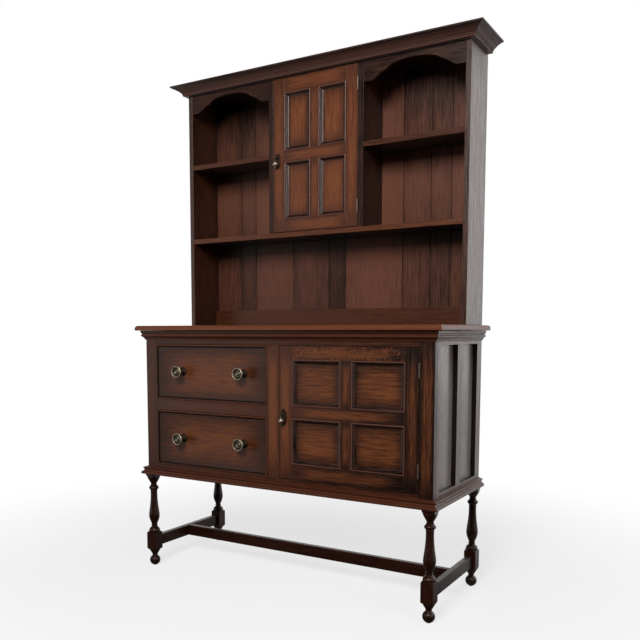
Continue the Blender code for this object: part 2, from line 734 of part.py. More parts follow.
def cut_hinge_mortise(piece, name, axis_x, edge_x, face_y, middle):
    """Let a leaf into the edge that lies at edge_x, facing the hinge's axis."""
    depth = hinge_mortise_depth()
    away = 1 if edge_x > axis_x else -1
    low_x, high_x = sorted((axis_x, edge_x + away * depth))
    low = (low_x, face_y - OVERRUN, middle - HINGE_HEIGHT / 2 - CLEAR)
    high = (high_x, face_y + LEAF_DEPTH + CLEAR, middle + HINGE_HEIGHT / 2 + CLEAR)
    combine(piece, box_cutter(f"{name}_mortise", low, high), "DIFFERENCE")


# Drop handles: an oval plate with two ears and a pin, and a turned drop that swings on the pin
def make_handle(name, plate_x, plate_z, seat_y, door):
    pivot = (plate_x, seat_y - CLEAR - PIVOT_OUT, plate_z + PIVOT_ABOVE_PLATE_MIDDLE)
    plate_back = seat_y - CLEAR - pivot[1]
    plate_mesh = bmesh.new()
    bmesh.ops.create_cone(
        plate_mesh, cap_ends=True, segments=PLATE_STEPS, radius1=1.0, radius2=PLATE_DOME_SHARE, depth=1.0
    )
    for point in plate_mesh.verts:
        across, up, out = point.co
        point.co = (
            across * PLATE_WIDTH / 2,
            plate_back - (2 * out + 1) / 2 * PLATE_THICK,
            up * PLATE_HEIGHT / 2 - PIVOT_ABOVE_PLATE_MIDDLE,
        )
    plate = add_object(f"{name}_handle_plate", plate_mesh, BRASS)
    plate.location = pivot

    ear_inner = DROP_EYE_WIDTH / 2 + CLEAR
    ear_outer = ear_inner + EAR_THICK
    foot = plate_back - PLATE_THICK / 2
    tip = DROP_EYE_RADIUS
    ear_outline = (
        (foot, -EAR_FOOT), (foot, EAR_FOOT), (0.0, tip), (-tip, tip / 2), (-tip, -tip / 2), (0.0, -tip),
    )
    for number, sign in enumerate((-1, 1)):
        start, end = sorted((sign * ear_inner, sign * ear_outer))
        ear = prism(ear_outline, "X", start, end)
        combine(plate, tool_at(f"{name}_ear_{number}", ear, pivot), "UNION")
    pin = cylinder_mesh(DROP_PIN_RADIUS, -ear_outer + CLEAR, ear_outer - CLEAR)
    pin_tool = tool_at(f"{name}_drop_pin", pin, pivot)
    pin_tool.rotation_euler = (0.0, math.pi / 2, 0.0)
    combine(plate, pin_tool, "UNION")
    attach(plate, door)

    outline = [(0.0, 0.0), (DROP_STEM_RADIUS, 0.0), (DROP_STEM_RADIUS, -NECK_TOP_SHARE * DROP_LENGTH)]
    outline.append((DROP_COLLAR_RADIUS, -NECK_LOW_SHARE * DROP_LENGTH))
    for step in range(BALL_ARC_STEPS + 1):
        angle = math.radians(BALL_ARC_START + (BALL_ARC_END - BALL_ARC_START) * step / BALL_ARC_STEPS)
        height = DROP_BALL_RADIUS * math.cos(angle) - DROP_LENGTH
        outline.append((DROP_BALL_RADIUS * math.sin(angle), height))
    finial = -DROP_LENGTH - DROP_BALL_RADIUS
    outline += [(DROP_FINIAL_RADIUS, finial - DROP_FINIAL_RADIUS / 2), (0.0, finial - DROP_FINIAL_RADIUS)]
    drop = turned(f"{name}_drop", outline, KNOB_STEPS, BRASS, pivot)
    eye = cylinder_mesh(DROP_EYE_RADIUS, -DROP_EYE_WIDTH / 2, DROP_EYE_WIDTH / 2)
    eye_tool = tool_at(f"{name}_drop_eye", eye, pivot)
    eye_tool.rotation_euler = (0.0, math.pi / 2, 0.0)
    combine(drop, eye_tool, "UNION")
    bore = cylinder_mesh(DROP_PIN_RADIUS + CLEAR, -DROP_EYE_WIDTH, DROP_EYE_WIDTH)
    bore_tool = tool_at(f"{name}_drop_bore", bore, pivot)
    bore_tool.rotation_euler = (0.0, math.pi / 2, 0.0)
    combine(drop, bore_tool, "DIFFERENCE")
    attach(drop, plate)


# Doors: a frame of four moulded openings with one thin panel let in from behind
def make_door(name, opening, face_y, thick, rails, stiles, handle_drop, post):
    """Opening is left, right, bottom, top; rails and stiles are widths; the hinges screw to the post."""
    left, right, bottom, top = opening
    left += DOOR_GAP
    right -= DOOR_GAP
    bottom += DOOR_GAP
    top -= DOOR_GAP
    bottom_rail, middle_rail, top_rail = rails
    lock_stile, muntin, hinge_stile = stiles
    across = (right - left - lock_stile - muntin - hinge_stile) / 2
    up = (top - bottom - bottom_rail - middle_rail - top_rail) / 2
    columns = (left + lock_stile, left + lock_stile + across + muntin)
    rows = (bottom + bottom_rail, bottom + bottom_rail + up + middle_rail)
    openings = [(x, x + across, z, z + up) for x in columns for z in rows]
    steps = (
        (BEAD_ROUND, BEAD_RISE), (BEAD_WIDTH - 2 * BEAD_ROUND, 0.0), (BEAD_ROUND, -BEAD_RISE),
        (QUIRK_WIDTH, 0.0), (PANEL_SLOPE, -(PANEL_RECESS - QUIRK_WIDTH)),
    )
    axis_x = right + DOOR_GAP / 2
    pivot = (axis_x, face_y - BARREL_RADIUS - CLEAR, (bottom + top) / 2)
    low = (left, face_y, bottom)
    high = (right, face_y + thick, top)
    frame = add_object(f"{name}_frame", framed(low, high, openings, steps, True), OAK_FRONT, pivot)

    edge = REBATE_MARGIN
    rebate_low = (left + lock_stile - edge, face_y + PANEL_RECESS, bottom + bottom_rail - edge)
    rebate_high = (right - hinge_stile + edge, face_y + thick + OVERRUN, top - top_rail + edge)
    combine(frame, box_cutter(f"{name}_rebate", rebate_low, rebate_high), "DIFFERENCE")
    panel_low = Vector(rebate_low) + Vector((CLEAR, CLEAR, CLEAR))
    panel_high = Vector(rebate_high) - Vector((CLEAR, 0.0, CLEAR))
    panel_high.y = panel_low.y + PANEL_THICK
    panel = board(f"{name}_panel", panel_low, panel_high, OAK_FRONT, pivot)
    attach(panel, frame)

    for place, middle in (("top", top - HINGE_INSET), ("bottom", bottom + HINGE_INSET)):
        hinge = f"{name}_{place}_hinge"
        make_hinge(hinge, axis_x, face_y, middle, frame)
        cut_hinge_mortise(frame, f"{hinge}_door", axis_x, right, face_y, middle)
        cut_hinge_mortise(post, f"{hinge}_post", axis_x, right + DOOR_GAP, face_y, middle)
    plate_z = (bottom + top) / 2 - handle_drop
    make_handle(name, left + HANDLE_INSET, plate_z, face_y, frame)


# Rack: plain sides, long shelf, dividers of the cupboard and a short shelf in each bay
def make_rack_boards():
    shelf_front = RACK_FRONT + SHELF_SET_BACK
    for side, sign in (("left", -1), ("right", 1)):
        low_x, high_x = sorted((sign * HALF_WIDTH, sign * (HALF_WIDTH - RACK_BOARD)))
        board(f"rack_side_{side}", (low_x, RACK_FRONT, RACK_BOTTOM), (high_x, BACK, RACK_TOP), OAK)
    board(
        "rack_long_shelf",
        (-RACK_INNER, shelf_front, LONG_SHELF_TOP - RACK_BOARD), (RACK_INNER, RACK_BACK, LONG_SHELF_TOP), OAK,
    )
    dividers = []
    for side, sign in (("left", -1), ("right", 1)):
        low_x, high_x = sorted((sign * DIVIDER_INNER, sign * DIVIDER_OUTER))
        dividers.append(board(
            f"rack_divider_{side}",
            (low_x, RACK_FRONT, LONG_SHELF_TOP + CLEAR), (high_x, RACK_BACK, RACK_TOP), OAK,
        ))
        low_x, high_x = sorted((sign * (DIVIDER_OUTER + CLEAR), sign * RACK_INNER))
        board(
            f"rack_short_shelf_{side}",
            (low_x, shelf_front, SHORT_SHELF_BOTTOM),
            (high_x, RACK_BACK, SHORT_SHELF_BOTTOM + RACK_BOARD), OAK,
        )
    return dividers[1]


# Top of the rack: a board across the sides, and the mitred cornice nailed round its edges
def make_rack_top():
    bottom = RACK_TOP + CLEAR
    board("rack_top_board", (-HALF_WIDTH, RACK_FRONT, bottom), (HALF_WIDTH, BACK, bottom + RACK_BOARD), OAK)
    stations = around_front(HALF_WIDTH, RACK_FRONT, BACK)
    moulding("rack_cornice", CORNICE_SHARES, CORNICE_OUT, RACK_TOP, CORNICE_HEIGHT, stations)


# Valances: a shaped board under the cornice of each bay, with a flat arch between two lobes
def valance_half():
    """Points of the lower edge from the middle of the bay out to its end, as (share across, share down)."""
    fall = (ARCH_FOOT_SHARE - ARCH_CROWN_SHARE) / (1 - math.sqrt(1 - ARCH_ROUND_SHARE))
    points = []
    for step in range(ARCH_STEPS + 1):
        part = step / ARCH_STEPS
        down = ARCH_CROWN_SHARE + fall * (1 - math.sqrt(1 - ARCH_ROUND_SHARE * part ** 2))
        points.append((ARCH_SPAN_SHARE * part, down))
    for step in range(LOBE_STEPS + 1):
        turn = step / LOBE_STEPS
        across = ARCH_SPAN_SHARE + (HOOK_SHARE - ARCH_SPAN_SHARE) * turn
        points.append((across, LOBE_SHARE + (1 - LOBE_SHARE) * (1 - math.cos(math.pi * turn)) / 2))
    points.append((1.0, 1.0))
    return points


def make_valances():
    half = (RACK_INNER - DIVIDER_OUTER - CLEAR) / 2
    middle = (RACK_INNER + DIVIDER_OUTER + CLEAR) / 2
    top = RACK_TOP
    right_edge = [(across * half, top - down * VALANCE_DROP) for across, down in valance_half()]
    left_edge = [(-across, height) for across, height in reversed(right_edge[1:])]
    outline = [(-half, top)] + left_edge + right_edge + [(half, top)]
    front = RACK_FRONT + SHELF_SET_BACK
    for side, sign in (("left", -1), ("right", 1)):
        placed = [(sign * middle + across, height) for across, height in outline]
        add_object(f"rack_valance_{side}", prism(placed, "Y", front, front + VALANCE_THICK), OAK)


# Backboards: vertical matched boards of random widths with a V groove at each joint, and a low rail
def make_rack_back():
    width = 2 * RACK_INNER
    front = BACK - BACKBOARD_THICK
    outline = [(-RACK_INNER, front)]
    for share in BACKBOARD_JOINT_SHARES:
        joint = -RACK_INNER + share * width
        outline += [
            (joint - BACKBOARD_GROOVE / 2, front), (joint, front + BACKBOARD_GROOVE),
            (joint + BACKBOARD_GROOVE / 2, front),
        ]
    outline += [(RACK_INNER, front), (RACK_INNER, BACK), (-RACK_INNER, BACK)]
    add_object("rack_backboards", prism(outline, "Z", RACK_BOTTOM, RACK_TOP), OAK_BACK)
    board(
        "rack_back_rail",
        (-RACK_INNER, RACK_BACK - BACK_RAIL_THICK, RACK_BOTTOM),
        (RACK_INNER, RACK_BACK, RACK_BOTTOM + BACK_RAIL_HEIGHT), OAK,
    )


def build_dresser():
    make_legs()
    make_stretchers()
    front_frame = make_front_frame()
    make_sides()
    make_carcass_inside()
    make_runners()
    make_base_mouldings()
    make_worktop()
    make_drawer("upper_drawer", RAIL_TOP, OPENING_TOP)
    make_drawer("lower_drawer", OPENING_BOTTOM, RAIL_BOTTOM)
    make_door(
        "lower_door", (DOORWAY_LEFT, DOORWAY_RIGHT, OPENING_BOTTOM, OPENING_TOP), FRONT, LOWER_DOOR_THICK,
        (LOWER_DOOR_BOTTOM_RAIL, MIDDLE_RAIL, LOWER_DOOR_TOP_RAIL),
        (LOWER_LOCK_STILE, LOWER_MUNTIN, LOWER_HINGE_STILE), LOWER_HANDLE_DROP, front_frame,
    )
    right_divider = make_rack_boards()
    make_rack_top()
    make_valances()
    make_rack_back()
    make_door(
        "upper_door", (-DIVIDER_INNER, DIVIDER_INNER, LONG_SHELF_TOP, RACK_TOP), RACK_FRONT, UPPER_DOOR_THICK,
        (UPPER_DOOR_BOTTOM_RAIL, UPPER_DOOR_MIDDLE_RAIL, UPPER_DOOR_TOP_RAIL),
        (UPPER_DOOR_STILE, UPPER_MUNTIN, UPPER_DOOR_STILE), UPPER_HANDLE_DROP, right_divider,
    )


build_dresser()
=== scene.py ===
import json
import math

import bmesh
import bpy
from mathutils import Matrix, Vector


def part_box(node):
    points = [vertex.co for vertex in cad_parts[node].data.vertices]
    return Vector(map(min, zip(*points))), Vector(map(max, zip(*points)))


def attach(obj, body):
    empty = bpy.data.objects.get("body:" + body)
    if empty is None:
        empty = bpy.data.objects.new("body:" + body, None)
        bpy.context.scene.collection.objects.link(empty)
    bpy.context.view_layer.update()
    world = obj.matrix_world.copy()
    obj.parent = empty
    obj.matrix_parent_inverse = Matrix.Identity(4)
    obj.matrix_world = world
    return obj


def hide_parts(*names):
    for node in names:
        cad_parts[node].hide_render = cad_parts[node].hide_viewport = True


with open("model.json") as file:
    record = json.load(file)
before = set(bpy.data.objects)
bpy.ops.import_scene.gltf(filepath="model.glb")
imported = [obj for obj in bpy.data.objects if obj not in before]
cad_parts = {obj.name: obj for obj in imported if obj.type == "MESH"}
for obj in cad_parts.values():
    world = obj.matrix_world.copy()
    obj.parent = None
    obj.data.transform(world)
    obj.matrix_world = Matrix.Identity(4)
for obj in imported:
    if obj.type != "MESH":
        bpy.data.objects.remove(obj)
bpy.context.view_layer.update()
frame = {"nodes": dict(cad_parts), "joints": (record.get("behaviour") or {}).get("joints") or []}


# The four turned legs. Each is one length of square oak: a square cap, a vase and rings turned on
# the lathe, a square block for the stretchers, and a ball foot. All is stained and wax polished.

def put(tree, kind, inputs=None, **settings):
    """Add a shader node; its inputs are given by name or number, as values or as sockets to link."""
    node = tree.nodes.new("ShaderNode" + kind)
    for key, value in settings.items():
        setattr(node, key, value)
    for socket, value in (inputs or {}).items():
        if isinstance(value, bpy.types.NodeSocket):
            tree.links.new(value, node.inputs[socket])
        else:
            node.inputs[socket].default_value = value
    return node


def sums(tree, operation, first, second=0.0, third=0.0):
    return put(tree, "Math", {0: first, 1: second, 2: third}, operation=operation).outputs[0]


def weighed(tree, start, *pairs):
    """Start, plus each value times its weight."""
    for value, weight in pairs:
        start = sums(tree, "MULTIPLY_ADD", value, weight, start)
    return start


def blended(tree, share, first, second):
    """A mix of two colours, which are inputs 6 and 7 of the node."""
    return put(tree, "Mix", {0: share, 6: first, 7: second}, data_type="RGBA").outputs[2]


def ranged(tree, value, low, high, start=0.0, end=1.0):
    """Value from low to high becomes start to end, smoothly, and no further."""
    node = put(
        tree, "MapRange", {0: value, 1: low, 2: high, 3: start, 4: end}, interpolation_type="SMOOTHSTEP"
    )
    return node.outputs[0]


def stretched_noise(tree, place, stretch, detail, warp=0.0):
    mapped = put(tree, "Mapping", {"Vector": place, "Scale": stretch}).outputs[0]
    noise = put(
        tree, "TexNoise",
        {"Vector": mapped, "Scale": 1.0, "Detail": detail, "Roughness": 0.55, "Distortion": warp},
    )
    return noise.outputs[0]


def new_group(name, inputs, outputs):
    """A node group whose sockets are given as name: (socket type, default)."""
    group = bpy.data.node_groups.new(name, "ShaderNodeTree")
    for way, sockets in (("INPUT", inputs), ("OUTPUT", outputs)):
        for label, (kind, value) in sockets.items():
            socket = group.interface.new_socket(name=label, in_out=way, socket_type="NodeSocket" + kind)
            if value is not None:
                socket.default_value = value
    return group, group.nodes.new("NodeGroupInput").outputs, group.nodes.new("NodeGroupOutput").inputs


def wood_noises(group, place):
    """Broad bands, streaks, fine lines, mottling and growth rings, drawn out along the grain."""
    broad = stretched_noise(group, place, (1.1, 14.0, 14.0), 3.0, 0.3)
    streak = stretched_noise(group, place, (7.0, 150.0, 110.0), 3.0, 0.4)
    fine = stretched_noise(group, place, (16.0, 430.0, 330.0), 2.0)
    mottle = stretched_noise(group, place, (9.0, 22.0, 22.0), 4.0)
    mapped = put(group, "Mapping", {"Vector": place, "Scale": (0.9, 11.0, 6.0)}).outputs[0]
    ring = put(
        group, "TexWave",
        {
            "Vector": mapped, "Scale": 1.7, "Distortion": 5.5, "Detail": 3.0, "Detail Scale": 0.7,
            "Detail Roughness": 0.6,
        },
        bands_direction="Y", wave_profile="SAW",
    ).outputs["Fac"]
    return broad, streak, fine, mottle, ring


def open_pores(group, place, ring):
    """The short dark pores, closest together in one part of each growth ring."""
    noise = stretched_noise(group, place, (75.0, 1300.0, 1300.0), 1.0)
    return sums(
        group, "MULTIPLY", ranged(group, noise, 0.56, 0.70), ranged(group, ring, 0.2, 0.9, 0.35, 1.0)
    )


def ray_flecks(group, place):
    """The silver flecks of oak cut on the quarter, which lie slanted across the grain."""
    slanted = put(
        group, "Mapping",
        {"Vector": place, "Rotation": (0.0, 0.0, 1.0), "Scale": (0.018, 0.0045, 0.006)},
        vector_type="TEXTURE",
    ).outputs[0]
    return ranged(group, stretched_noise(group, slanted, (1.0, 1.0, 1.0), 1.0, 0.6), 0.54, 0.64)


def handled_parts(group, share):
    """Masks of a piece's borders, sawn edges and middle, from how far out on it a place lies."""
    parts = put(group, "SeparateXYZ", {0: share}).outputs
    along = sums(group, "ABSOLUTE", parts[0])
    across = sums(group, "ABSOLUTE", parts[1])
    border = sums(group, "MAXIMUM", ranged(group, along, 0.55, 1.0), ranged(group, across, 0.35, 1.0))
    edge_shade_and_joints = sums(
        group, "MAXIMUM", ranged(group, along, 0.996, 0.9995), ranged(group, across, 0.985, 0.999)
    )
    middle = sums(group, "MULTIPLY", ranged(group, along, 1.0, 0.35), ranged(group, across, 1.0, 0.2))
    return border, edge_shade_and_joints, middle


def build_oak_grain():
    """Grain, pores, silver ray flecks and handling of stained oak, along the first grain axis.

    Care holds each piece's own tone, how dark its sawn edges are painted, as dark joints and as
    painted shade in the reveals and gaps, and how its middle is rubbed.
    """
    group, given, out = new_group(
        "oak_grain",
        {
            "Grain": ("Vector", None), "Share": ("Vector", None), "Care": ("Vector", None),
            "Worn": ("Float", 0.0), "Dark": ("Color", (0.03, 0.01, 0.005, 1)),
            "Light": ("Color", (0.1, 0.04, 0.02, 1)), "Worn Colour": ("Color", (0.2, 0.09, 0.04, 1)),
            "Figure": ("Float", 1.0), "Border Darkening": ("Float", 0.5), "Fleck": ("Float", 0.2),
            "Polish": ("Float", 0.35),
        },
        {"Colour": ("Color", None), "Roughness": ("Float", None), "Height": ("Float", None)},
    )
    place = given["Grain"]
    broad, streak, fine, mottle, ring = wood_noises(group, place)
    pores = open_pores(group, place, ring)
    flecks = sums(group, "MULTIPLY", ray_flecks(group, place), given["Fleck"])
    tone, black, rubbed = put(group, "SeparateXYZ", {0: given["Care"]}).outputs
    border, edge_shade_and_joints, middle = handled_parts(group, given["Share"])
    # Painted shade and dark joints on the sawn edges: the reveals round openings, the gaps, the joints.
    edge_shade_and_joints = sums(group, "MULTIPLY", edge_shade_and_joints, black)
    middle = sums(group, "MULTIPLY", middle, rubbed)
    # Darker towards each piece's borders; on a door panel the borders lie at its opening, where this is
    # painted shade along the moulding.
    border_darkening = sums(group, "MULTIPLY", border, given["Border Darkening"])
    border_darkening = sums(group, "MULTIPLY", border_darkening, ranged(group, mottle, 0.3, 0.6, 0.5, 1.0))

    figure = 0.0
    for noise, swing in ((broad, 0.22), (streak, 0.14), (fine, 0.62), (ring, 0.10), (mottle, 0.20)):
        figure = sums(group, "ADD", ranged(group, noise, 0.3, 0.7, -swing, swing), figure)
    figure = weighed(group, figure, (pores, -0.30))
    light = weighed(
        group, tone, (figure, given["Figure"]), (middle, 0.5), (edge_shade_and_joints, -1.0), (border_darkening, -0.7),
        (flecks, 1.0),
    )
    colour = blended(group, ranged(group, light, -0.25, 1.0), given["Dark"], given["Light"])
    glow = sums(group, "MULTIPLY", middle, ranged(group, figure, -0.5, 0.8, 0.0, 0.78))
    rub = sums(group, "MULTIPLY", given["Worn"], ranged(group, mottle, 0.38, 0.62, 0.0, 0.7))
    rub = sums(group, "MAXIMUM", rub, glow)
    gloss = weighed(
        group, given["Polish"], (pores, 0.22), (mottle, 0.08), (ranged(group, fine, 0.35, 0.65), 0.15),
        (ranged(group, streak, 0.35, 0.65), 0.08), (rub, -0.06),
    )
    group.links.new(blended(group, rub, colour, given["Worn Colour"]), out["Colour"])
    group.links.new(gloss, out["Roughness"])
    group.links.new(weighed(group, 0.5, (streak, 0.35), (pores, -0.10)), out["Height"])
    return group


OAK_GRAIN = build_oak_grain()


def finish_from(name, effect, attributes, values, relief, depth):
    """A material drawn by a node group, returned with its shader.

    attributes are (label, output) pairs for the mesh attributes that feed the group; relief is how
    strong the bumps look, and depth how deep they are.
    """
    material = bpy.data.materials.new(name)
    material.use_nodes = True
    tree = material.node_tree
    given = dict(values)
    for label, output in attributes:
        given[label] = put(tree, "Attribute", attribute_name=label.lower()).outputs[output]
    surface = put(tree, "Group", given, node_tree=effect).outputs
    bump = put(tree, "Bump", {"Strength": relief, "Distance": depth, "Height": surface["Height"]})
    shader = tree.nodes["Principled BSDF"]
    tree.links.new(surface["Colour"], shader.inputs["Base Color"])
    tree.links.new(surface["Roughness"], shader.inputs["Roughness"])
    tree.links.new(bump.outputs["Normal"], shader.inputs["Normal"])
    return material, shader


def wood_finish(name, stain, figure, border_darkening, fleck, polish, bloom, depth, shine=0.5):
    """Oak under its finish. stain is its darkest, its lightest and its worn colour, all linear.

    bloom is the grey haze of old wax seen at a slant; depth is how deep the grain lies; shine is how
    much of the light the finish mirrors, 0.5 for a polish that has kept its body.
    """
    dark, light, worn = stain
    material, shader = finish_from(
        name, OAK_GRAIN, (("Grain", "Vector"), ("Share", "Vector"), ("Care", "Vector"), ("Worn", "Fac")),
        {
            "Dark": (*dark, 1.0), "Light": (*light, 1.0), "Worn Colour": (*worn, 1.0),
            "Figure": figure, "Border Darkening": border_darkening, "Fleck": fleck, "Polish": polish,
        },
        relief=0.6, depth=depth,
    )
    shader.inputs["Specular IOR Level"].default_value = shine
    shader.inputs["Specular Tint"].default_value = (1.0, 0.92, 0.87, 1.0)
    shader.inputs["Sheen Weight"].default_value = bloom
    shader.inputs["Sheen Roughness"].default_value = 0.35
    return material


LEG_OAK = wood_finish(
    "oak_of_the_legs_nearly_black",
    ((0.0020, 0.0005, 0.0003), (0.027, 0.0062, 0.0024), (0.060, 0.016, 0.006)),
    figure=0.4, border_darkening=0.25, fleck=0.02, polish=0.16, bloom=0.02, depth=0.00020, shine=0.3,
)
SAW_CLEARANCE = 0.000001


def everything(mesh_data):
    """All that a plane may cut."""
    return mesh_data.verts[:] + mesh_data.edges[:] + mesh_data.faces[:]


def sawn(mesh_data, point, facing):
    """Saw off what lies beyond a plane, on the side it faces, and close the cut."""
    cut = bmesh.ops.bisect_plane(
        mesh_data, geom=everything(mesh_data), dist=SAW_CLEARANCE, plane_co=point, plane_no=facing,
        clear_outer=True,
    )["geom_cut"]
    edges = [item for item in cut if isinstance(item, bmesh.types.BMEdge)]
    if edges:
        bmesh.ops.holes_fill(mesh_data, edges=edges, sides=0)
    return mesh_data


def sharpest_fold(point, sign, start, reach):
    """How sharply the surface folds at a point: 0 up to the angle start, 1 from start + reach on.

    sign is 1 for a fold that stands out and -1 for one that goes in.
    """
    folds = [
        sign * edge.calc_face_angle_signed(0.0) for edge in point.link_edges
        if len(edge.link_faces) == 2
    ]
    return min(1.0, max(0.0, max([0.0, *folds]) - start) / reach)


def hollowness(point):
    """How sharply the surface folds inward at a point of the mesh, from 0 to 1."""
    return sharpest_fold(point, -1, 0.55, 0.5)


def sharpness(point):
    """How sharply the surface folds outward at a point of the mesh, from 0 to 1."""
    return sharpest_fold(point, 1, 0.4, 0.6)


def sharp_edges(mesh_data, angle):
    """The edges whose two faces meet at more than an angle in degrees."""
    return [
        edge for edge in mesh_data.edges
        if len(edge.link_faces) == 2 and edge.calc_face_angle(0.0) > math.radians(angle)
    ]


def rounded(mesh_data, edges, radius, segments):
    """Round edges off; the new faces are returned."""
    return bmesh.ops.bevel(
        mesh_data, geom=edges, offset=radius, offset_type="OFFSET", affect="EDGES", segments=segments,
        profile=0.5, material=-1, clamp_overlap=True,
    )["faces"]


def ease_edges(mesh_data, radius, steep):
    """Sand a small radius on the sharp edges, and mark it as worn."""
    worn = mesh_data.faces.layers.float.new("worn")
    if radius > 0.0:
        sharp = [edge for edge in sharp_edges(mesh_data, 28.0) if steep is None or steep(edge)]
        for face in rounded(mesh_data, sharp, radius, 2):
            face[worn] = 1.0


def extent(mesh_data):
    """The lowest and the highest corner of a mesh."""
    corners = [point.co for point in mesh_data.verts]
    low = Vector([min(corner[i] for corner in corners) for i in range(3)])
    high = Vector([max(corner[i] for corner in corners) for i in range(3)])
    return low, high


pieces_made = []


def wooden_piece(
    name, mesh_data, material, along, body="carcass", slot="dark_stained_oak", node=None, ease=0.0006,
    tone=None, black=0.0, rubbed=0.0, crease_shade_and_edge_light=0.0, field=None, smooth=None, steep=None
):
    """Ease the piece's sharp edges, note how its grain runs, and hang it on its body.

    along is the axis of the grain; ease is the radius sanded on the edges; steep, if given, keeps the
    easing to edges for which it is true; smooth is the angle below which faces are shaded as one.
    tone may be a number or a function of the place on the piece; field is the part of it that shows;
    the crease setting puts painted shade in its quirks and hollows, and a painted highlight half as
    strong on its sharp outward folds.
    """
    bmesh.ops.recalc_face_normals(mesh_data, faces=mesh_data.faces[:])
    ease_edges(mesh_data, ease, steep)
    low, high = field or extent(mesh_data)
    half = (high - low) / 2
    middle = (high + low) / 2
    first = "XYZ".index(along)
    order = [first] + sorted((i for i in range(3) if i != first), key=lambda i: -half[i])
    number = len(pieces_made)
    shift = Vector((number * 1.73 % 7.0, number * 2.39 % 5.0, number * 0.61 % 3.0))
    if tone is None:
        tone = 0.5 + 0.16 * math.sin(number * 2.4)
    grain = mesh_data.verts.layers.float_vector.new("grain")
    share = mesh_data.verts.layers.float_vector.new("share")
    care = mesh_data.verts.layers.float_vector.new("care")
    for point in mesh_data.verts:
        point[grain] = Vector([point.co[i] for i in order]) + shift
        point[share] = Vector([(point.co[i] - middle[i]) / half[i] for i in order])
        own = tone(point.co) if callable(tone) else tone
        # Painted shade in the hollows, and a painted highlight on the sharp outward folds.
        own += crease_shade_and_edge_light * (0.5 * sharpness(point) - hollowness(point))
        # black is how much painted shade and dark joint the sawn edges get.
        point[care] = (own, black, rubbed)
    return placed_piece(name, mesh_data, material, body, node, smooth)


def placed_piece(name, mesh_data, material, body, node, smooth):
    """Make the object, without the shading that its CAD node brought, and hang it on its body."""
    mesh = bpy.data.meshes.new(name)
    mesh_data.to_mesh(mesh)
    mesh_data.free()
    for spare in ("custom_normal", "sharp_face"):
        if spare in mesh.attributes:
            mesh.attributes.remove(mesh.attributes[spare])
    mesh.materials.clear()
    mesh.materials.append(material)
    if smooth is None:
        mesh.shade_flat()
    else:
        mesh.shade_smooth()
        mesh.set_sharp_from_angle(angle=math.radians(smooth))
    piece = bpy.data.objects.new(name, mesh)
    bpy.context.scene.collection.objects.link(piece)
    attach(piece, body)
    if node:
        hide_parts(node)
    pieces_made.append(piece)
    return piece


def spun(outline, steps):
    """Turn an outline of (radius, height) points about the upright axis."""
    mesh_data = bmesh.new()
    points = [mesh_data.verts.new((radius, 0.0, height)) for radius, height in outline]
    edges = [mesh_data.edges.new(pair) for pair in zip(points, points[1:])]
    bmesh.ops.spin(
        mesh_data, geom=points + edges, cent=(0, 0, 0), axis=(0, 0, 1), angle=2 * math.pi,
        steps=steps, use_merge=True,
    )
    bmesh.ops.remove_doubles(mesh_data, verts=mesh_data.verts[:], dist=0.000002)
    bmesh.ops.recalc_face_normals(mesh_data, faces=mesh_data.faces[:])
    return mesh_data


def flowing(run, steps):
    """A run of profile points made smooth by a curve through all of them."""
    if len(run) < 3:
        return list(run)
    ends = [run[0], *run, run[-1]]
    points = []
    for four in zip(ends, ends[1:], ends[2:], ends[3:]):
        for step in range(steps):
            share = step / steps
            points.append(tuple(
                0.5 * (2 * start + (end - before) * share
                       + (2 * before - 5 * start + 4 * end - after) * share ** 2
                       + (3 * start - before - 3 * end + after) * share ** 3)
                for before, start, end, after in zip(*four)
            ))
    return points + [run[-1]]


LEG_WIDTH = 0.042
LEG_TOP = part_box("leg_front_left")[1].z
CAP_BOTTOM = 0.350
BLOCK_TOP = 0.134
BLOCK_BOTTOM = 0.062
SHOULDER = 0.006
PAST_CORNERS = 0.74
SPARE_LENGTH = 0.004
# Radius as a share of the leg's width, depth as a share of the way from the cap to the block
VASE_RUNS = (
    ((0.595, 0.000), (0.493, 0.051), (0.357, 0.097), (0.262, 0.130), (0.252, 0.140)),
    ((0.290, 0.143), (0.290, 0.157)),
    ((0.262, 0.162), (0.340, 0.176), (0.420, 0.192), (0.440, 0.208), (0.420, 0.224), (0.345, 0.238),
     (0.318, 0.246)),
    ((0.325, 0.250), (0.310, 0.266), (0.305, 0.330), (0.325, 0.430), (0.375, 0.530), (0.440, 0.620),
     (0.482, 0.690), (0.475, 0.735), (0.400, 0.795), (0.285, 0.850), (0.240, 0.877)),
    ((0.285, 0.883), (0.285, 0.901)),
    ((0.235, 0.908), (0.300, 0.922), (0.430, 0.945), (0.490, 0.970), (0.497, 0.990), (0.497, 1.000)),
)
# Radius as before, depth as a share of the way from the block to the floor
FOOT_RUN = (
    (0.490, 0.000), (0.400, 0.120), (0.290, 0.240), (0.240, 0.320), (0.240, 0.390), (0.365, 0.470),
    (0.447, 0.567), (0.476, 0.677), (0.447, 0.788), (0.365, 0.885), (0.238, 0.957), (0.150, 1.000),
)


def leg_outline():
    """The outline that is spun. Cap and block are wider than their corners, and are sawn square."""
    corner = LEG_WIDTH * PAST_CORNERS
    top = LEG_TOP + SPARE_LENGTH
    outline = [(0.0, top), (corner, top), (corner, CAP_BOTTOM + SHOULDER)]
    for run in VASE_RUNS:
        for radius, depth in flowing(run, 4):
            outline.append((radius * LEG_WIDTH, CAP_BOTTOM - depth * (CAP_BOTTOM - BLOCK_TOP)))
    outline += [(corner, BLOCK_TOP - SHOULDER), (corner, BLOCK_BOTTOM + SHOULDER)]
    for radius, depth in flowing(FOOT_RUN, 4):
        outline.append((radius * LEG_WIDTH, BLOCK_BOTTOM * (1 - depth)))
    return outline + [(0.0, 0.0)]


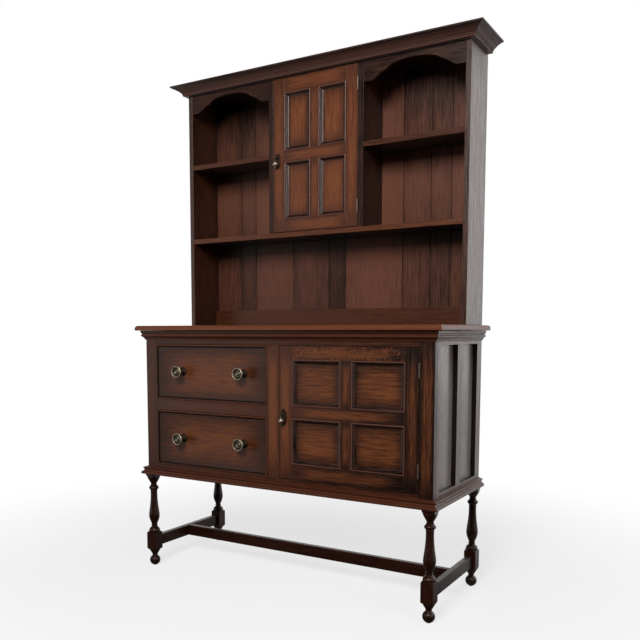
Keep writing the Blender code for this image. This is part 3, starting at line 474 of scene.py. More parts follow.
def make_leg(node):
    low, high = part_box(node)
    middle = (low + high) / 2
    leg = spun(leg_outline(), 64)
    half = LEG_WIDTH / 2
    for facing in (Vector((1, 0, 0)), Vector((-1, 0, 0)), Vector((0, 1, 0)), Vector((0, -1, 0))):
        sawn(leg, facing * half, facing)
    sawn(leg, Vector((0, 0, LEG_TOP)), Vector((0, 0, 1)))
    bmesh.ops.remove_doubles(leg, verts=leg.verts[:], dist=0.000005)
    bmesh.ops.translate(leg, vec=(middle.x, middle.y, 0.0), verts=leg.verts[:])

    def square_corner(edge):
        line = edge.verts[1].co - edge.verts[0].co
        return abs(line.z) > 0.99 * line.length and line.length > 0.004

    wooden_piece(
        f"turned_{node}", leg, LEG_OAK, "Z", node=node, ease=0.0012, smooth=32.0, steep=square_corner,
        crease_shade_and_edge_light=0.5,
    )


for end in ("front", "back"):
    for side in ("left", "right"):
        make_leg(f"leg_{end}_{side}")


# The stretchers: a bar of oak tenoned between the leg blocks on each side, and one long bar that
# joins the middles of those two. The edges are rounded by years of feet.

FLAT_ANGLE = math.radians(0.5)


def node_mesh(node):
    """A CAD node's mesh with its loose triangles joined into flat faces."""
    mesh_data = bmesh.new()
    mesh_data.from_mesh(frame["nodes"][node].data)
    bmesh.ops.remove_doubles(mesh_data, verts=mesh_data.verts[:], dist=0.00001)
    bmesh.ops.dissolve_limit(
        mesh_data, angle_limit=FLAT_ANGLE, verts=mesh_data.verts[:], edges=mesh_data.edges[:]
    )
    return mesh_data


def board_from(node, material, along, **words):
    """A plain board cut to its CAD node."""
    return wooden_piece(f"{node}_board", node_mesh(node), material, along, node=node, **words)


for side in ("left", "right"):
    board_from(f"side_stretcher_{side}", LEG_OAK, "Y", ease=0.0016)
board_from("centre_stretcher", LEG_OAK, "X", ease=0.0016, tone=0.7)


# The front frame of the base: oak stiles and rails with mortise and tenon joints, round two drawer
# openings and a doorway. The hinge leaves are let into the edge of the right stile.

DARK_STAIN = ((0.0045, 0.0011, 0.0006), (0.070, 0.0180, 0.0066), (0.12, 0.036, 0.013))
STAINED_OAK = wood_finish(
    "stained_and_polished_oak", DARK_STAIN, figure=0.35, border_darkening=0.25, fleck=0.03, polish=0.20,
    bloom=0.04, depth=0.00025, shine=0.25,
)
RUBBED_STAIN = ((0.006, 0.0013, 0.0006), (0.135, 0.0375, 0.0140), (0.23, 0.072, 0.018))
RUBBED_OAK = wood_finish(
    "rubbed_oak_of_the_fronts", RUBBED_STAIN, figure=0.24, border_darkening=0.40, fleck=0.05, polish=0.20,
    bloom=0.02, depth=0.00025, shine=0.25,
)
FRAME_LOW, FRAME_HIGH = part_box("base_front_frame")
END_STILE = 0.048
CENTRE_STILE = 0.047
TOP_RAIL = 0.050
BOTTOM_RAIL = 0.042
DOOR_GAP = 0.002
DRAWER_GAP = 0.001


def cut_from(node, low, high, name, material, along, first, heights=(), **words):
    """One board of a joined frame: what its CAD node holds between two corners.

    first is true for the board that is named as the node's own; heights are where the tone changes, so
    that the mesh has points there.
    """
    board = node_mesh(node)
    for axis in range(3):
        for corner, sign in ((low, -1), (high, 1)):
            if corner[axis] is not None:
                facing = Vector((0, 0, 0))
                facing[axis] = sign
                sawn(board, facing * sign * corner[axis], facing)
    bmesh.ops.dissolve_limit(
        board, angle_limit=FLAT_ANGLE, verts=board.verts[:], edges=board.edges[:]
    )
    for height in heights:
        bmesh.ops.bisect_plane(
            board, geom=everything(board), dist=SAW_CLEARANCE, plane_co=(0.0, 0.0, height),
            plane_no=(0.0, 0.0, 1.0),
        )
    return wooden_piece(name, board, material, along, node=node if first else None, **words)


stile_left = FRAME_LOW.x + END_STILE
stile_right = FRAME_HIGH.x - END_STILE
doorway_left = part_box("lower_door_frame")[0].x - DOOR_GAP
centre_left = doorway_left - CENTRE_STILE
rail_top = FRAME_HIGH.z - TOP_RAIL
rail_bottom = FRAME_LOW.z + BOTTOM_RAIL
middle_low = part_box("lower_drawer_front")[1].z + DRAWER_GAP
middle_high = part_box("upper_drawer_front")[0].z - DRAWER_GAP
FRONT_BOARDS = (
    ("base_stile_left", STAINED_OAK, (None, None, None), (stile_left, None, None), "Z", 0.50, 0.2),
    ("base_stile_right", RUBBED_OAK, (stile_right, None, None), (None, None, None), "Z", 0.10, 0.5),
    ("base_stile_centre", RUBBED_OAK, (centre_left, None, rail_bottom), (doorway_left, None, rail_top),
     "Z", 0.55, 0.5),
    ("base_rail_top", STAINED_OAK, (stile_left, None, rail_top), (stile_right, None, None),
     "X", 0.45, 0.2),
    ("base_rail_bottom", STAINED_OAK, (stile_left, None, None), (stile_right, None, rail_bottom),
     "X", 0.50, 0.3),
    ("base_rail_between_drawers", STAINED_OAK, (stile_left, None, middle_low),
     (centre_left, None, middle_high), "X", 0.70, 0.3),
)
# The sawn edges are painted dark: painted shade in the reveals of the openings, dark joints between
# boards.
for number, (name, material, low, high, along, tone, rubbed) in enumerate(FRONT_BOARDS):
    cut_from(
        "base_front_frame", low, high, name, material, along, number == 0, ease=0.0005, tone=tone,
        black=0.8, rubbed=rubbed,
    )


# The sides of the base: a joined frame of three uprights and two rails, with a thin oak panel set
# behind it that fills the two tall openings.

POLISHED_OAK = wood_finish(
    "oak_of_the_sides_still_polished", DARK_STAIN, figure=0.35, border_darkening=0.25, fleck=0.03, polish=0.20,
    bloom=0.04, depth=0.00025,
)
# The pale grey colours are a painted sheen, the haze the side panels show at a slant; the shader's sheen
# adds the clouded wax.
PAINTED_SHEEN_PANEL_OAK = wood_finish(
    "side_panel_oak_with_clouded_wax_and_painted_sheen",
    ((0.030, 0.018, 0.015), (0.160, 0.108, 0.094), (0.20, 0.140, 0.120)),
    figure=0.35, border_darkening=0.25, fleck=0.03, polish=0.16, bloom=1.0, depth=0.00025, shine=0.75,
)
SIDE_STILE = 0.046
SIDE_MUNTIN = 0.042
SIDE_TOP_RAIL = 0.045
for side in ("left", "right"):
    node = f"base_side_frame_{side}"
    low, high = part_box(node)
    front_stile = FRAME_LOW.y + SIDE_STILE
    back_stile = high.y - SIDE_STILE
    opening = (back_stile - front_stile - SIDE_MUNTIN) / 2
    muntin = (front_stile + opening, front_stile + opening + SIDE_MUNTIN)
    side_rail = high.z - SIDE_TOP_RAIL
    boards = (
        ("stile_front", (None, None, None), (None, front_stile, None), "Z"),
        ("stile_back", (None, back_stile, None), (None, None, None), "Z"),
        ("rail_top", (None, front_stile, side_rail), (None, back_stile, None), "Y"),
        ("rail_bottom", (None, front_stile, None), (None, back_stile, rail_bottom), "Y"),
        ("muntin", (None, muntin[0], rail_bottom), (None, muntin[1], side_rail), "Z"),
    )
    # The sawn edges are painted dark: painted shade in the reveals of the openings, dark joints between
    # boards.
    for number, (name, start, end, along) in enumerate(boards):
        cut_from(
            node, start, end, f"base_side_{side}_{name}", POLISHED_OAK, along, number == 0, ease=0.0005,
            black=0.8,
        )
    board_from(f"base_side_panel_{side}", PAINTED_SHEEN_PANEL_OAK, "Z", ease=0.0003)


# Inside the base: an unpolished floor, a partition between drawers and cupboard, and the runners
# and guides for the drawers. The back is one sheet of thin plywood, nailed in its rebate.

BARE_WOOD = wood_finish(
    "bare_drawer_wood", ((0.13, 0.063, 0.028), (0.34, 0.195, 0.100), (0.38, 0.235, 0.130)),
    figure=0.7, border_darkening=0.30, fleck=0.05, polish=0.62, bloom=0.0, depth=0.0002,
)
PLYWOOD = wood_finish(
    "thin_plywood", ((0.080, 0.039, 0.019), (0.22, 0.125, 0.066), (0.28, 0.175, 0.100)),
    figure=0.7, border_darkening=0.35, fleck=0.0, polish=0.66, bloom=0.0, depth=0.0002,
)
board_from("base_floor", BARE_WOOD, "X", slot="unpolished_drawer_wood")
for node in (
    "base_partition", "upper_drawer_runner_left", "upper_drawer_runner_right", "lower_drawer_guide_left"
):
    board_from(node, BARE_WOOD, "Y", slot="unpolished_drawer_wood")
board_from("base_back_panel", PLYWOOD, "X", slot="plywood_back", ease=0.0003)


# The mouldings of the base: oak run to a profile and nailed on, mitred at the two front corners.
# A thumb and hollow hides the joint over the legs; a small cyma and bead lies under the worktop.

def pulled(mesh_data, face, places):
    """Extrude a face and put the corners of its new end in their places; the end is returned."""
    extruded = bmesh.ops.extrude_face_region(mesh_data, geom=[face, *face.edges])
    end = next(item for item in extruded["geom"] if isinstance(item, bmesh.types.BMFace))
    for corner, place in zip(end.verts, places):
        corner.co = place
    return end


def moulded_length(profile, first, last):
    """A length of moulding from mitre to mitre.

    The profile's points are (out, up). First and last are (corner, outward direction) at the two
    ends, and the direction is slanted where the length is mitred.
    """
    def placed(station):
        corner, outward = station
        return [(corner[0] + out * outward[0], corner[1] + out * outward[1], up) for out, up in profile]

    mesh_data = bmesh.new()
    face = mesh_data.faces.new([mesh_data.verts.new(place) for place in placed(first)])
    pulled(mesh_data, face, placed(last))
    return mesh_data


def stands_out(edge):
    """True for an edge that stands out along a moulding, not for a quirk or a mitre."""
    line = edge.verts[1].co - edge.verts[0].co
    return edge.calc_face_angle_signed(0.0) > 0.5 and line.length > 0.2


JOINT_GAP = 0.0003
back_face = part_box("base_back_panel")[1].y


def moulding_round(node, name, runs, material, front, half_width, back, bottom, reach, height,
                   tone=None):
    """Three lengths of one moulding: left side, front and right side.

    The runs of its profile are shares of its reach and of its height.
    """
    profile = [(JOINT_GAP, bottom + height)]
    for run in runs:
        for out, up in flowing(run, 3):
            profile.append((max(out * reach, 2 * JOINT_GAP), bottom + up * height))
    profile.append((JOINT_GAP, bottom))
    stations = (
        ((-half_width, back), (-1.0, 0.0)), ((-half_width, front), (-1.0, -1.0)),
        ((half_width, front), (1.0, -1.0)), ((half_width, back), (1.0, 0.0)),
    )
    for start, (side, along) in enumerate((("left", "Y"), ("front", "X"), ("right", "Y"))):
        mesh_data = moulded_length(profile, stations[start], stations[start + 1])
        wooden_piece(
            f"{name}_{side}", mesh_data, material, along, node=node if side == "left" else None,
            ease=0.0005, smooth=30.0, crease_shade_and_edge_light=0.7, steep=stands_out, tone=tone,
        )


WORKTOP_MOULD_RUNS = (
    ((1.00, 1.00), (1.00, 0.77)),
    ((0.84, 0.74), (0.77, 0.68), (0.74, 0.62), (0.74, 0.58)),
    ((0.80, 0.565), (0.88, 0.53), (0.93, 0.46), (0.88, 0.38), (0.76, 0.34)),
    ((0.70, 0.33), (0.58, 0.30), (0.40, 0.21), (0.27, 0.12), (0.20, 0.00)),
)
BASE_MOULD_RUNS = (
    ((0.15, 1.00), (0.28, 0.93)),
    ((0.52, 0.90), (0.66, 0.88), (0.73, 0.83), (0.73, 0.78), (0.70, 0.74)),
    ((0.64, 0.70), (0.59, 0.63), (0.57, 0.55), (0.60, 0.46), (0.68, 0.40)),
    ((0.72, 0.38), (0.90, 0.32), (0.98, 0.24), (1.00, 0.14), (0.99, 0.04), (0.96, 0.00)),
)
WORKTOP_MOULD_HEIGHT = 0.034
moulding_round(
    "base_moulding", "foot_moulding", BASE_MOULD_RUNS, STAINED_OAK, front=FRAME_LOW.y,
    half_width=FRAME_HIGH.x, back=back_face, bottom=FRAME_LOW.z, reach=0.020, height=0.030,
)
moulding_round(
    "worktop_moulding", "moulding_under_worktop", WORKTOP_MOULD_RUNS, STAINED_OAK, front=FRAME_LOW.y,
    half_width=FRAME_HIGH.x, back=back_face, bottom=FRAME_HIGH.z - WORKTOP_MOULD_HEIGHT, reach=0.015,
    height=WORKTOP_MOULD_HEIGHT,
)


# The worktop: boards of oak glued edge to edge, with a rounded edge worked on the front and ends,
# screwed down on the frame. Its polish is worn thin along the front edge, which is also painted
# paler, as a painted highlight where the rounded edge catches the light.

LOWER_EASE = 0.002
EDGE_FLAT = 0.006
EDGE_ROUND = 0.009


def make_worktop():
    """Raised from its underside: a small ease, a short flat, and a quarter round up to the top."""
    low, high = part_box("worktop")
    levels = [(LOWER_EASE, 0.0), (0.0005, 0.0008), (0.0, LOWER_EASE), (0.0, EDGE_FLAT)]
    for step in range(1, 9):
        turn = math.pi / 2 * step / 8
        up = EDGE_FLAT + (high.z - low.z - EDGE_FLAT) * math.sin(turn)
        levels.append((EDGE_ROUND * (1 - math.cos(turn)), up))

    def corners(inward, up):
        left, right, front = low.x + inward, high.x - inward, low.y + inward
        return ((left, high.y, low.z + up), (left, front, low.z + up), (right, front, low.z + up),
                (right, high.y, low.z + up))

    # All but the top is painted paler, for the rounded front edge and ends: worn polish and a painted
    # highlight.
    def edge_wear_and_highlight(co):
        return 0.60 if co.z > high.z - 0.0005 else 1.70

    mesh_data = bmesh.new()
    face = mesh_data.faces.new([mesh_data.verts.new(corner) for corner in corners(*levels[0])])
    for inward, up in levels[1:]:
        face = pulled(mesh_data, face, corners(inward, up))
    wooden_piece(
        "worktop_boards", mesh_data, RUBBED_OAK, "X", node="worktop", ease=0.0, tone=edge_wear_and_highlight,
        smooth=30.0,
    )


make_worktop()


# The two drawers: an oak front with a bead worked round its sunk field, dovetailed to sides and a
# back of plain wood, and a thin bottom slid into grooves.

BEAD_WIDTH = 0.005
BEAD_RISE = 0.0022
QUIRK = 0.0012
FIELD_SLOPE = 0.005
FIELD_DEPTH = 0.003
BEAD_CREST = 0.0013
BOX_THICK = 0.012


def beaded_edge(slope, depth, steps):
    """An edge's points (inward, up): a half round bead, a flat quirk, and a hollow slope down."""
    points = []
    for step in range(9):
        turn = math.pi * step / 8
        points.append((BEAD_WIDTH / 2 * (1 - math.cos(turn)), BEAD_RISE * math.sin(turn)))
    for step in range(steps + 1):
        share = step / steps
        points.append((BEAD_WIDTH + QUIRK + slope * share, -depth * math.sin(math.pi / 2 * share)))
    return points


def make_drawer_front(name):
    low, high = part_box(f"{name}_front")
    front = bmesh.new()
    bmesh.ops.create_cube(front, size=1.0)
    size = high - low
    size.y -= BEAD_RISE
    bmesh.ops.scale(front, vec=size, verts=front.verts[:])
    centre = (low + high) / 2 + Vector((0, BEAD_RISE / 2, 0))
    bmesh.ops.translate(front, vec=centre, verts=front.verts[:])
    face = next(item for item in front.faces if item.normal.y < -0.9)
    points = beaded_edge(FIELD_SLOPE, FIELD_DEPTH, 4)
    for (inward, up), (next_inward, next_up) in zip(points, points[1:]):
        bmesh.ops.inset_individual(
            front, faces=[face], thickness=next_inward - inward, depth=next_up - up,
            use_even_offset=True,
        )

    # The bead's crest is painted paler: wear, and a painted highlight along it.
    def bead_wear_and_highlight(co):
        return 0.95 if co.y < low.y + BEAD_RISE - BEAD_CREST else 0.30

    wooden_piece(
        f"{name}_front_board", front, RUBBED_OAK, "X", body=name, slot="rubbed_oak_fronts",
        node=f"{name}_front", ease=0.0, smooth=30.0, black=0.8, rubbed=0.5, crease_shade_and_edge_light=0.8,
        tone=bead_wear_and_highlight,
    )


def make_drawer_box(name):
    low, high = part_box(f"{name}_box")
    left = low.x + BOX_THICK
    right = high.x - BOX_THICK
    cuts = (
        ("side_left", (None, None, None), (left, None, None), "Y"),
        ("side_right", (right, None, None), (None, None, None), "Y"),
        ("back", (left, None, None), (right, None, None), "X"),
    )
    for number, (label, start, end, along) in enumerate(cuts):
        cut_from(
            f"{name}_box", start, end, f"{name}_{label}", BARE_WOOD, along, number == 0, body=name,
            slot="unpolished_drawer_wood", ease=0.0005,
        )
    board_from(f"{name}_bottom", BARE_WOOD, "X", slot="unpolished_drawer_wood", body=name, ease=0.0002)


for name in ("upper_drawer", "lower_drawer"):
    make_drawer_front(name)
    make_drawer_box(name)


# The four drawer knobs: turned brass, screwed through the front, with a rolled rim, a dished ring
# and a button in the middle. The rims are polished by hands and the hollows have gone brown.

def build_brass_patina():
    """Tarnish that gathers in the hollows, with spots and fine rubbed scratches."""
    group, given, out = new_group(
        "brass_patina",
        {
            "Hollow": ("Float", 0.0), "Bright": ("Color", (0.5, 0.4, 0.25, 1)),
            "Brown": ("Color", (0.1, 0.06, 0.03, 1)), "Polish": ("Float", 0.25),
        },
        {"Colour": ("Color", None), "Roughness": ("Float", None), "Height": ("Float", None)},
    )
    place = put(group, "TexCoord").outputs["Object"]
    cloud = stretched_noise(group, place, (90.0, 90.0, 90.0), 4.0, 0.4)
    spots = stretched_noise(group, place, (620.0, 620.0, 620.0), 2.0)
    scratch = stretched_noise(group, place, (300.0, 300.0, 2600.0), 2.0)
    tarnish = weighed(
        group, given["Hollow"], (cloud, 0.55), (ranged(group, spots, 0.58, 0.72), 0.25)
    )
    share = ranged(group, tarnish, 0.20, 1.15)
    group.links.new(blended(group, share, given["Bright"], given["Brown"]), out["Colour"])
    group.links.new(weighed(group, given["Polish"], (share, 0.22), (scratch, 0.10)), out["Roughness"])
    group.links.new(weighed(group, scratch, (spots, 0.5)), out["Height"])
    return group


BRASS_PATINA = build_brass_patina()


def brass_finish(name, bright, brown, polish, depth):
    material, shader = finish_from(
        name, BRASS_PATINA, (("Hollow", "Fac"),),
        {"Bright": (*bright, 1.0), "Brown": (*brown, 1.0), "Polish": polish}, relief=0.4, depth=depth,
    )
    shader.inputs["Metallic"].default_value = 1.0
    return material


OLD_BRASS = brass_finish(
    "old_brass", bright=(0.36, 0.30, 0.22), brown=(0.034, 0.023, 0.015), polish=0.38, depth=0.00004
)


def brass_piece(name, mesh_data, material, body, node, hollow, smooth=35.0):
    """hollow gives how deep in a hollow each point lies, from 0 on the rims to 1."""
    layer = mesh_data.verts.layers.float.new("hollow")
    for point in mesh_data.verts:
        point[layer] = hollow(point.co)
    return placed_piece(name, mesh_data, material, body, node, smooth)


KNOB_RADIUS = 0.0225
KNOB_FACE = 0.84
# Radius as a share of the knob's own, place as a share of its length from the seat out to the face
KNOB_RUNS = (
    ((0.000, 0.995), (0.07, 0.992), (0.13, 0.975), (0.17, 0.945), (0.19, 0.910), (0.20, 0.880)),
    ((0.25, 0.880), (0.30, 0.925), (0.36, 0.945), (0.42, 0.925), (0.46, 0.885)),
    ((0.50, 0.880), (0.56, 0.930), (0.62, 0.945), (0.68, 0.925), (0.72, 0.890)),
    ((0.76, 0.900), (0.80, 0.980), (0.86, 1.000), (0.92, 0.995), (0.98, 0.965), (1.00, 0.920),
     (0.99, 0.870), (0.94, 0.825), (0.84, 0.785)),
    ((0.78, 0.765), (0.60, 0.735), (0.42, 0.690), (0.31, 0.620), (0.28, 0.540), (0.28, 0.400),
     (0.31, 0.320)),
    ((0.38, 0.300), (0.42, 0.270), (0.42, 0.230), (0.38, 0.200)),
    ((0.40, 0.175), (0.46, 0.135), (0.56, 0.110), (0.65, 0.075), (0.69, 0.035), (0.70, 0.000)),
)
# From the middle of the face outwards: (radius up to which it holds, how brown the brass is there)
FACE_TARNISH = ((0.15, 0.0), (0.27, 1.0), (0.46, 0.25), (0.60, 0.9), (0.76, 0.6), (1.1, 0.0))


def make_knob(node, body):
    low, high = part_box(node)
    middle = (low + high) / 2
    length = high.y - low.y
    outline = []
    for run in KNOB_RUNS:
        for radius, place in flowing(run, 4):
            outline.append((radius * KNOB_RADIUS, min(place, 1.0) * length))
    outline.append((0.0, 0.0))
    knob = spun(outline, 64)
    for point in knob.verts:
        across, aside, out = point.co
        point.co = (middle.x + across, high.y - out, middle.z + aside)
    bmesh.ops.recalc_face_normals(knob, faces=knob.faces[:])

    def hollow(co):
        radius = math.hypot(co.x - middle.x, co.z - middle.z) / KNOB_RADIUS
        out = (high.y - co.y) / length
        if out > KNOB_FACE and radius < FACE_TARNISH[-1][0]:
            return next(brown for outer, brown in FACE_TARNISH if radius < outer)
        return 0.50 + 0.4 * (1.0 - out)

    brass_piece(f"{node}_turned", knob, OLD_BRASS, body, node, hollow)


for name in ("upper_drawer", "lower_drawer"):
    for side in ("left", "right"):
        make_knob(f"{name}_knob_{side}", name)


# The two doors: oak stiles and rails round four openings, a nailed-in moulding mitred round each
# opening, and thin oak panels behind. Hands have rubbed the middle of each panel to a warmer brown.

QUARTERED_OAK = wood_finish(
    "rubbed_oak_cut_on_the_quarter", RUBBED_STAIN, figure=0.30, border_darkening=0.30, fleck=0.70, polish=0.20,
    bloom=0.02, depth=0.00025, shine=0.25,
)
DOOR_MOULDING_OAK = wood_finish(
    "waxed_oak_of_the_door_mouldings",
    ((0.004, 0.0014, 0.0010), (0.105, 0.0400, 0.0270), (0.20, 0.062, 0.016)),
    figure=0.30, border_darkening=0.30, fleck=0.02, polish=0.13, bloom=0.02, depth=0.00015, shine=0.4,
)
MOULDING_SLOPE = 0.009
MOULDING_DEPTH = 0.0078
MOULDING_BACK = -0.0086
MOULDING_PROFILE = beaded_edge(MOULDING_SLOPE, MOULDING_DEPTH, 5)
MOULDING_PROFILE += [(MOULDING_PROFILE[-1][0], MOULDING_BACK), (0.0, MOULDING_BACK)]


def door_openings(low, high, stiles, muntin, rails):
    """Where the openings of a door lie, as (low, high) pairs across and up."""
    across = (high.x - low.x - sum(stiles) - muntin) / 2
    up = (high.z - low.z - sum(rails)) / 2
    first = low.x + stiles[0]
    second = first + across + muntin
    under = low.z + rails[0]
    over = under + up + rails[1]
    return ((first, first + across), (second, second + across)), ((under, under + up), (over, over + up))


def moved_into(whole, part):
    """Add a finished part to the mesh it belongs to."""
    bmesh.ops.recalc_face_normals(part, faces=part.faces[:])
    spare = bpy.data.meshes.new("part")
    part.to_mesh(spare)
    part.free()
    whole.from_mesh(spare)
    bpy.data.meshes.remove(spare)


def make_door_moulding(door, name, face, column, row):
    """Four mitred lengths round one opening, made as one piece."""
    corners = (
        ((column[0], row[0]), (1, 1)), ((column[1], row[0]), (-1, 1)),
        ((column[1], row[1]), (-1, -1)), ((column[0], row[1]), (1, -1)),
    )
    ring = bmesh.new()
    grain = ring.verts.layers.float_vector.new("grain")
    for number in range(4):
        start = len(ring.verts)
        moved_into(ring, moulded_length(MOULDING_PROFILE, corners[number], corners[(number + 1) % 4]))
        ring.verts.ensure_lookup_table()
        shift = Vector((number * 1.3, len(pieces_made) * 0.37, number * 0.7))
        for point in ring.verts[start:]:
            x, z, out = point.co
            point.co = (x, face - out, z)
            place = (x, z, out) if number % 2 == 0 else (z, x, out)
            point[grain] = Vector(place) + shift
    bmesh.ops.recalc_face_normals(ring, faces=ring.faces[:])
    care = ring.verts.layers.float_vector.new("care")
    for point in ring.verts:
        back = point.co.y - face
        # The bead's crest is painted pale, as wear and a painted highlight; the slope down to the panel
        # and the hollows are painted dark, as painted shade.
        tone = 1.0 if back < -BEAD_CREST else 0.3 if back < 0.0 else 0.1
        point[care] = (tone - 0.8 * hollowness(point), 0.0, 0.0)
    return placed_piece(name, ring, DOOR_MOULDING_OAK, door, None, 30.0)


def make_door(door, stiles, muntin, rails, shades, panel_grain, tones, rubbed, margin):
    """One door, with its stiles from the left, its rails and its panels' tones as they are counted.

    Rails are counted from the bottom up, panels from the upper left. Shades are the tones of the frame
    at its left and right edges. Margin is how far inside its opening the field of a panel ends.
    """
    low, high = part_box(f"{door}_frame")
    face = low.y + BEAD_RISE
    columns, rows = door_openings(low, high, stiles, muntin, rails)

    def shade(co):
        return shades[0] + (shades[1] - shades[0]) * (co.x - low.x) / (high.x - low.x)

    inner = (columns[0][0], columns[1][1])
    boards = (
        ("stile_lock", (None, None, None), (inner[0], None, None), "Z"),
        ("stile_hinge", (inner[1], None, None), (None, None, None), "Z"),
        ("rail_top", (inner[0], None, rows[1][1]), (inner[1], None, None), "X"),
        ("rail_middle", (inner[0], None, rows[0][1]), (inner[1], None, rows[1][0]), "X"),
        ("rail_bottom", (inner[0], None, None), (inner[1], None, rows[0][0]), "X"),
        ("muntin_upper", (columns[0][1], None, rows[1][0]), (columns[1][0], None, rows[1][1]), "Z"),
        ("muntin_lower", (columns[0][1], None, rows[0][0]), (columns[1][0], None, rows[0][1]), "Z"),
    )
    for number, (name, start, end, along) in enumerate(boards):
        finish = QUARTERED_OAK if (door, name) == ("lower_door", "rail_top") else RUBBED_OAK
        cut_from(
            f"{door}_frame", start, end, f"{door}_{name}", finish, along, number == 0, body=door,
            slot="rubbed_oak_fronts", ease=0.0005, tone=shade, black=0.8, rubbed=0.4,
        )
    panel_low, panel_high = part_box(f"{door}_panel")
    middle_x = (columns[0][1] + columns[1][0]) / 2
    middle_z = (rows[0][1] + rows[1][0]) / 2
    panels = (
        ("panel_upper_left", 0, 1, (None, None, middle_z), (middle_x, None, None)),
        ("panel_upper_right", 1, 1, (middle_x, None, middle_z), (None, None, None)),
        ("panel_lower_left", 0, 0, (None, None, None), (middle_x, None, middle_z)),
        ("panel_lower_right", 1, 0, (middle_x, None, None), (None, None, middle_z)),
    )
    for number, (name, column, row, start, end) in enumerate(panels):
        # The field is the opening, so the panel darkens towards the moulding round it, as painted shade.
        field = (
            Vector((columns[column][0] + margin, panel_low.y, rows[row][0] + margin)),
            Vector((columns[column][1] - margin, panel_high.y, rows[row][1] - margin)),
        )
        cut_from(
            f"{door}_panel", start, end, f"{door}_{name}", RUBBED_OAK, panel_grain, number == 0, body=door,
            slot="rubbed_oak_fronts", ease=0.0, tone=tones[number], rubbed=rubbed, field=field,
        )
    openings = [(column, row) for column in columns for row in rows]
    for number, (column, row) in enumerate(openings, 1):
        make_door_moulding(door, f"{door}_moulding_{number}", face, column, row)


make_door(
    "lower_door", stiles=(0.050, 0.046), muntin=0.038, rails=(0.050, 0.041, 0.044), shades=(0.48, 0.02),
    panel_grain="X", tones=(0.26, 0.24, 0.22, 0.17), rubbed=0.7, margin=-0.002,
)
make_door(
    "upper_door", stiles=(0.0465, 0.0465), muntin=0.034, rails=(0.045, 0.038, 0.053),
    shades=(0.58, 0.60), panel_grain="Z", tones=(0.38, 0.50, 0.46, 0.58), rubbed=0.8, margin=0.004,
)


# The hinges: a pair of brass butts on each door, gone nearly black. One leaf is screwed to the post
# and carries the pin and the outer knuckles, the other is screwed to the door and has the middle one.

DARK_HINGE_BRASS = brass_finish(
    "hinge_brass_gone_dark", bright=(0.30, 0.23, 0.16), brown=(0.030, 0.019, 0.012), polish=0.34,
    depth=0.00005,
)
HINGE_EASE = 0.00018


def make_hinge_leaf(node, body):
    leaf = node_mesh(node)
    rounded(leaf, sharp_edges(leaf, 50.0), HINGE_EASE, 1)
    brass_piece(
        f"{node}_cast", leaf, DARK_HINGE_BRASS, body, node,
        lambda co: 0.45, smooth=28.0,
    )


for door in ("lower_door", "upper_door"):
    for place in ("top", "bottom"):
        make_hinge_leaf(f"{door}_{place}_hinge_fixed_leaf", "carcass")
        make_hinge_leaf(f"{door}_{place}_hinge_door_leaf", door)


# The drop handles: an oval brass plate with two ears, pinned to the stile, and a turned brass drop
# that swings on a pin between the ears.

PLATE_WIDTH = 0.026
PLATE_HEIGHT = 0.056
PIN_RADIUS = 0.0013
EYE_RADIUS = 0.0032
EYE_WIDTH = 0.005
EAR_THICK = 0.0018
BALL_RADIUS = 0.0105
BALL_DEPTH = 0.025
NECK_ANGLE = 20.0
EYE_EASE = 0.0006
PLATE_THICK = 0.0007
PIN_PLAY = 0.0003
# The side of an ear from its foot up, as (height above the seat, distance from the middle)
EAR_SIDE = ((0.0011, 0.0072), (0.0030, 0.0050), (0.0070, 0.0037))
# Each step of the plate's face, from its rim inwards, as (width, rise)
PLATE_STEPS = (
    (0.0003, 0.0005), (0.0006, 0.0004), (0.0009, 0.0001), (0.0007, -0.0003), (0.0010, 0.0),
    (0.0015, 0.0005), (0.0020, 0.0003),
)
# The drop's stem and its nipple as (radius, height) under the pin
DROP_RUNS = (
    ((0.0000, -0.0024), (0.0019, -0.0024)),
    ((0.0019, -0.0046), (0.0026, -0.0050), (0.0030, -0.0060), (0.0026, -0.0070)),
    ((0.0019, -0.0074), (0.0018, -0.0095), (0.0021, -0.0115), (0.0026, -0.0135), (0.0032, -0.0149)),
)
NIPPLE_RUN = ((0.0031, -0.0352), (0.0030, -0.0362), (0.0026, -0.0372), (0.0015, -0.0381), (0.0, -0.0385))


def rod_across(radius, start, end):
    """A round rod along the X axis, with rounded ends."""
    rod = bmesh.new()
    bmesh.ops.create_cone(
        rod, cap_ends=True, segments=32, radius1=radius, radius2=radius, depth=end - start
    )
    rounded(rod, sharp_edges(rod, 60.0), radius * 0.25, 3)
    for point in rod.verts:
        point.co = (point.co.z + (start + end) / 2, point.co.x, point.co.y)
    return rod


def handle_ear(sign, seat):
    """One of the two ears that stand on the plate and hold the pin, with a round end."""
    ear = bmesh.new()
    foot = [(seat - rise, aside) for rise, aside in EAR_SIDE]
    outline = list(foot)
    for step in range(9):
        turn = math.pi / 2 + math.pi * step / 8
        outline.append((EYE_RADIUS * math.cos(turn), EYE_RADIUS * math.sin(turn)))
    outline += [(y, -z) for y, z in reversed(foot)]
    inner = sign * (EYE_WIDTH / 2 + PIN_PLAY)
    side = ear.faces.new([ear.verts.new((inner, y, z)) for y, z in outline])
    pulled(ear, side, [(inner + sign * EAR_THICK, y, z) for y, z in outline])
    rims = [edge for edge in ear.edges if abs(edge.verts[0].co.x - edge.verts[1].co.x) < 0.0001]
    rounded(ear, rims, 0.0003, 2)
    return ear


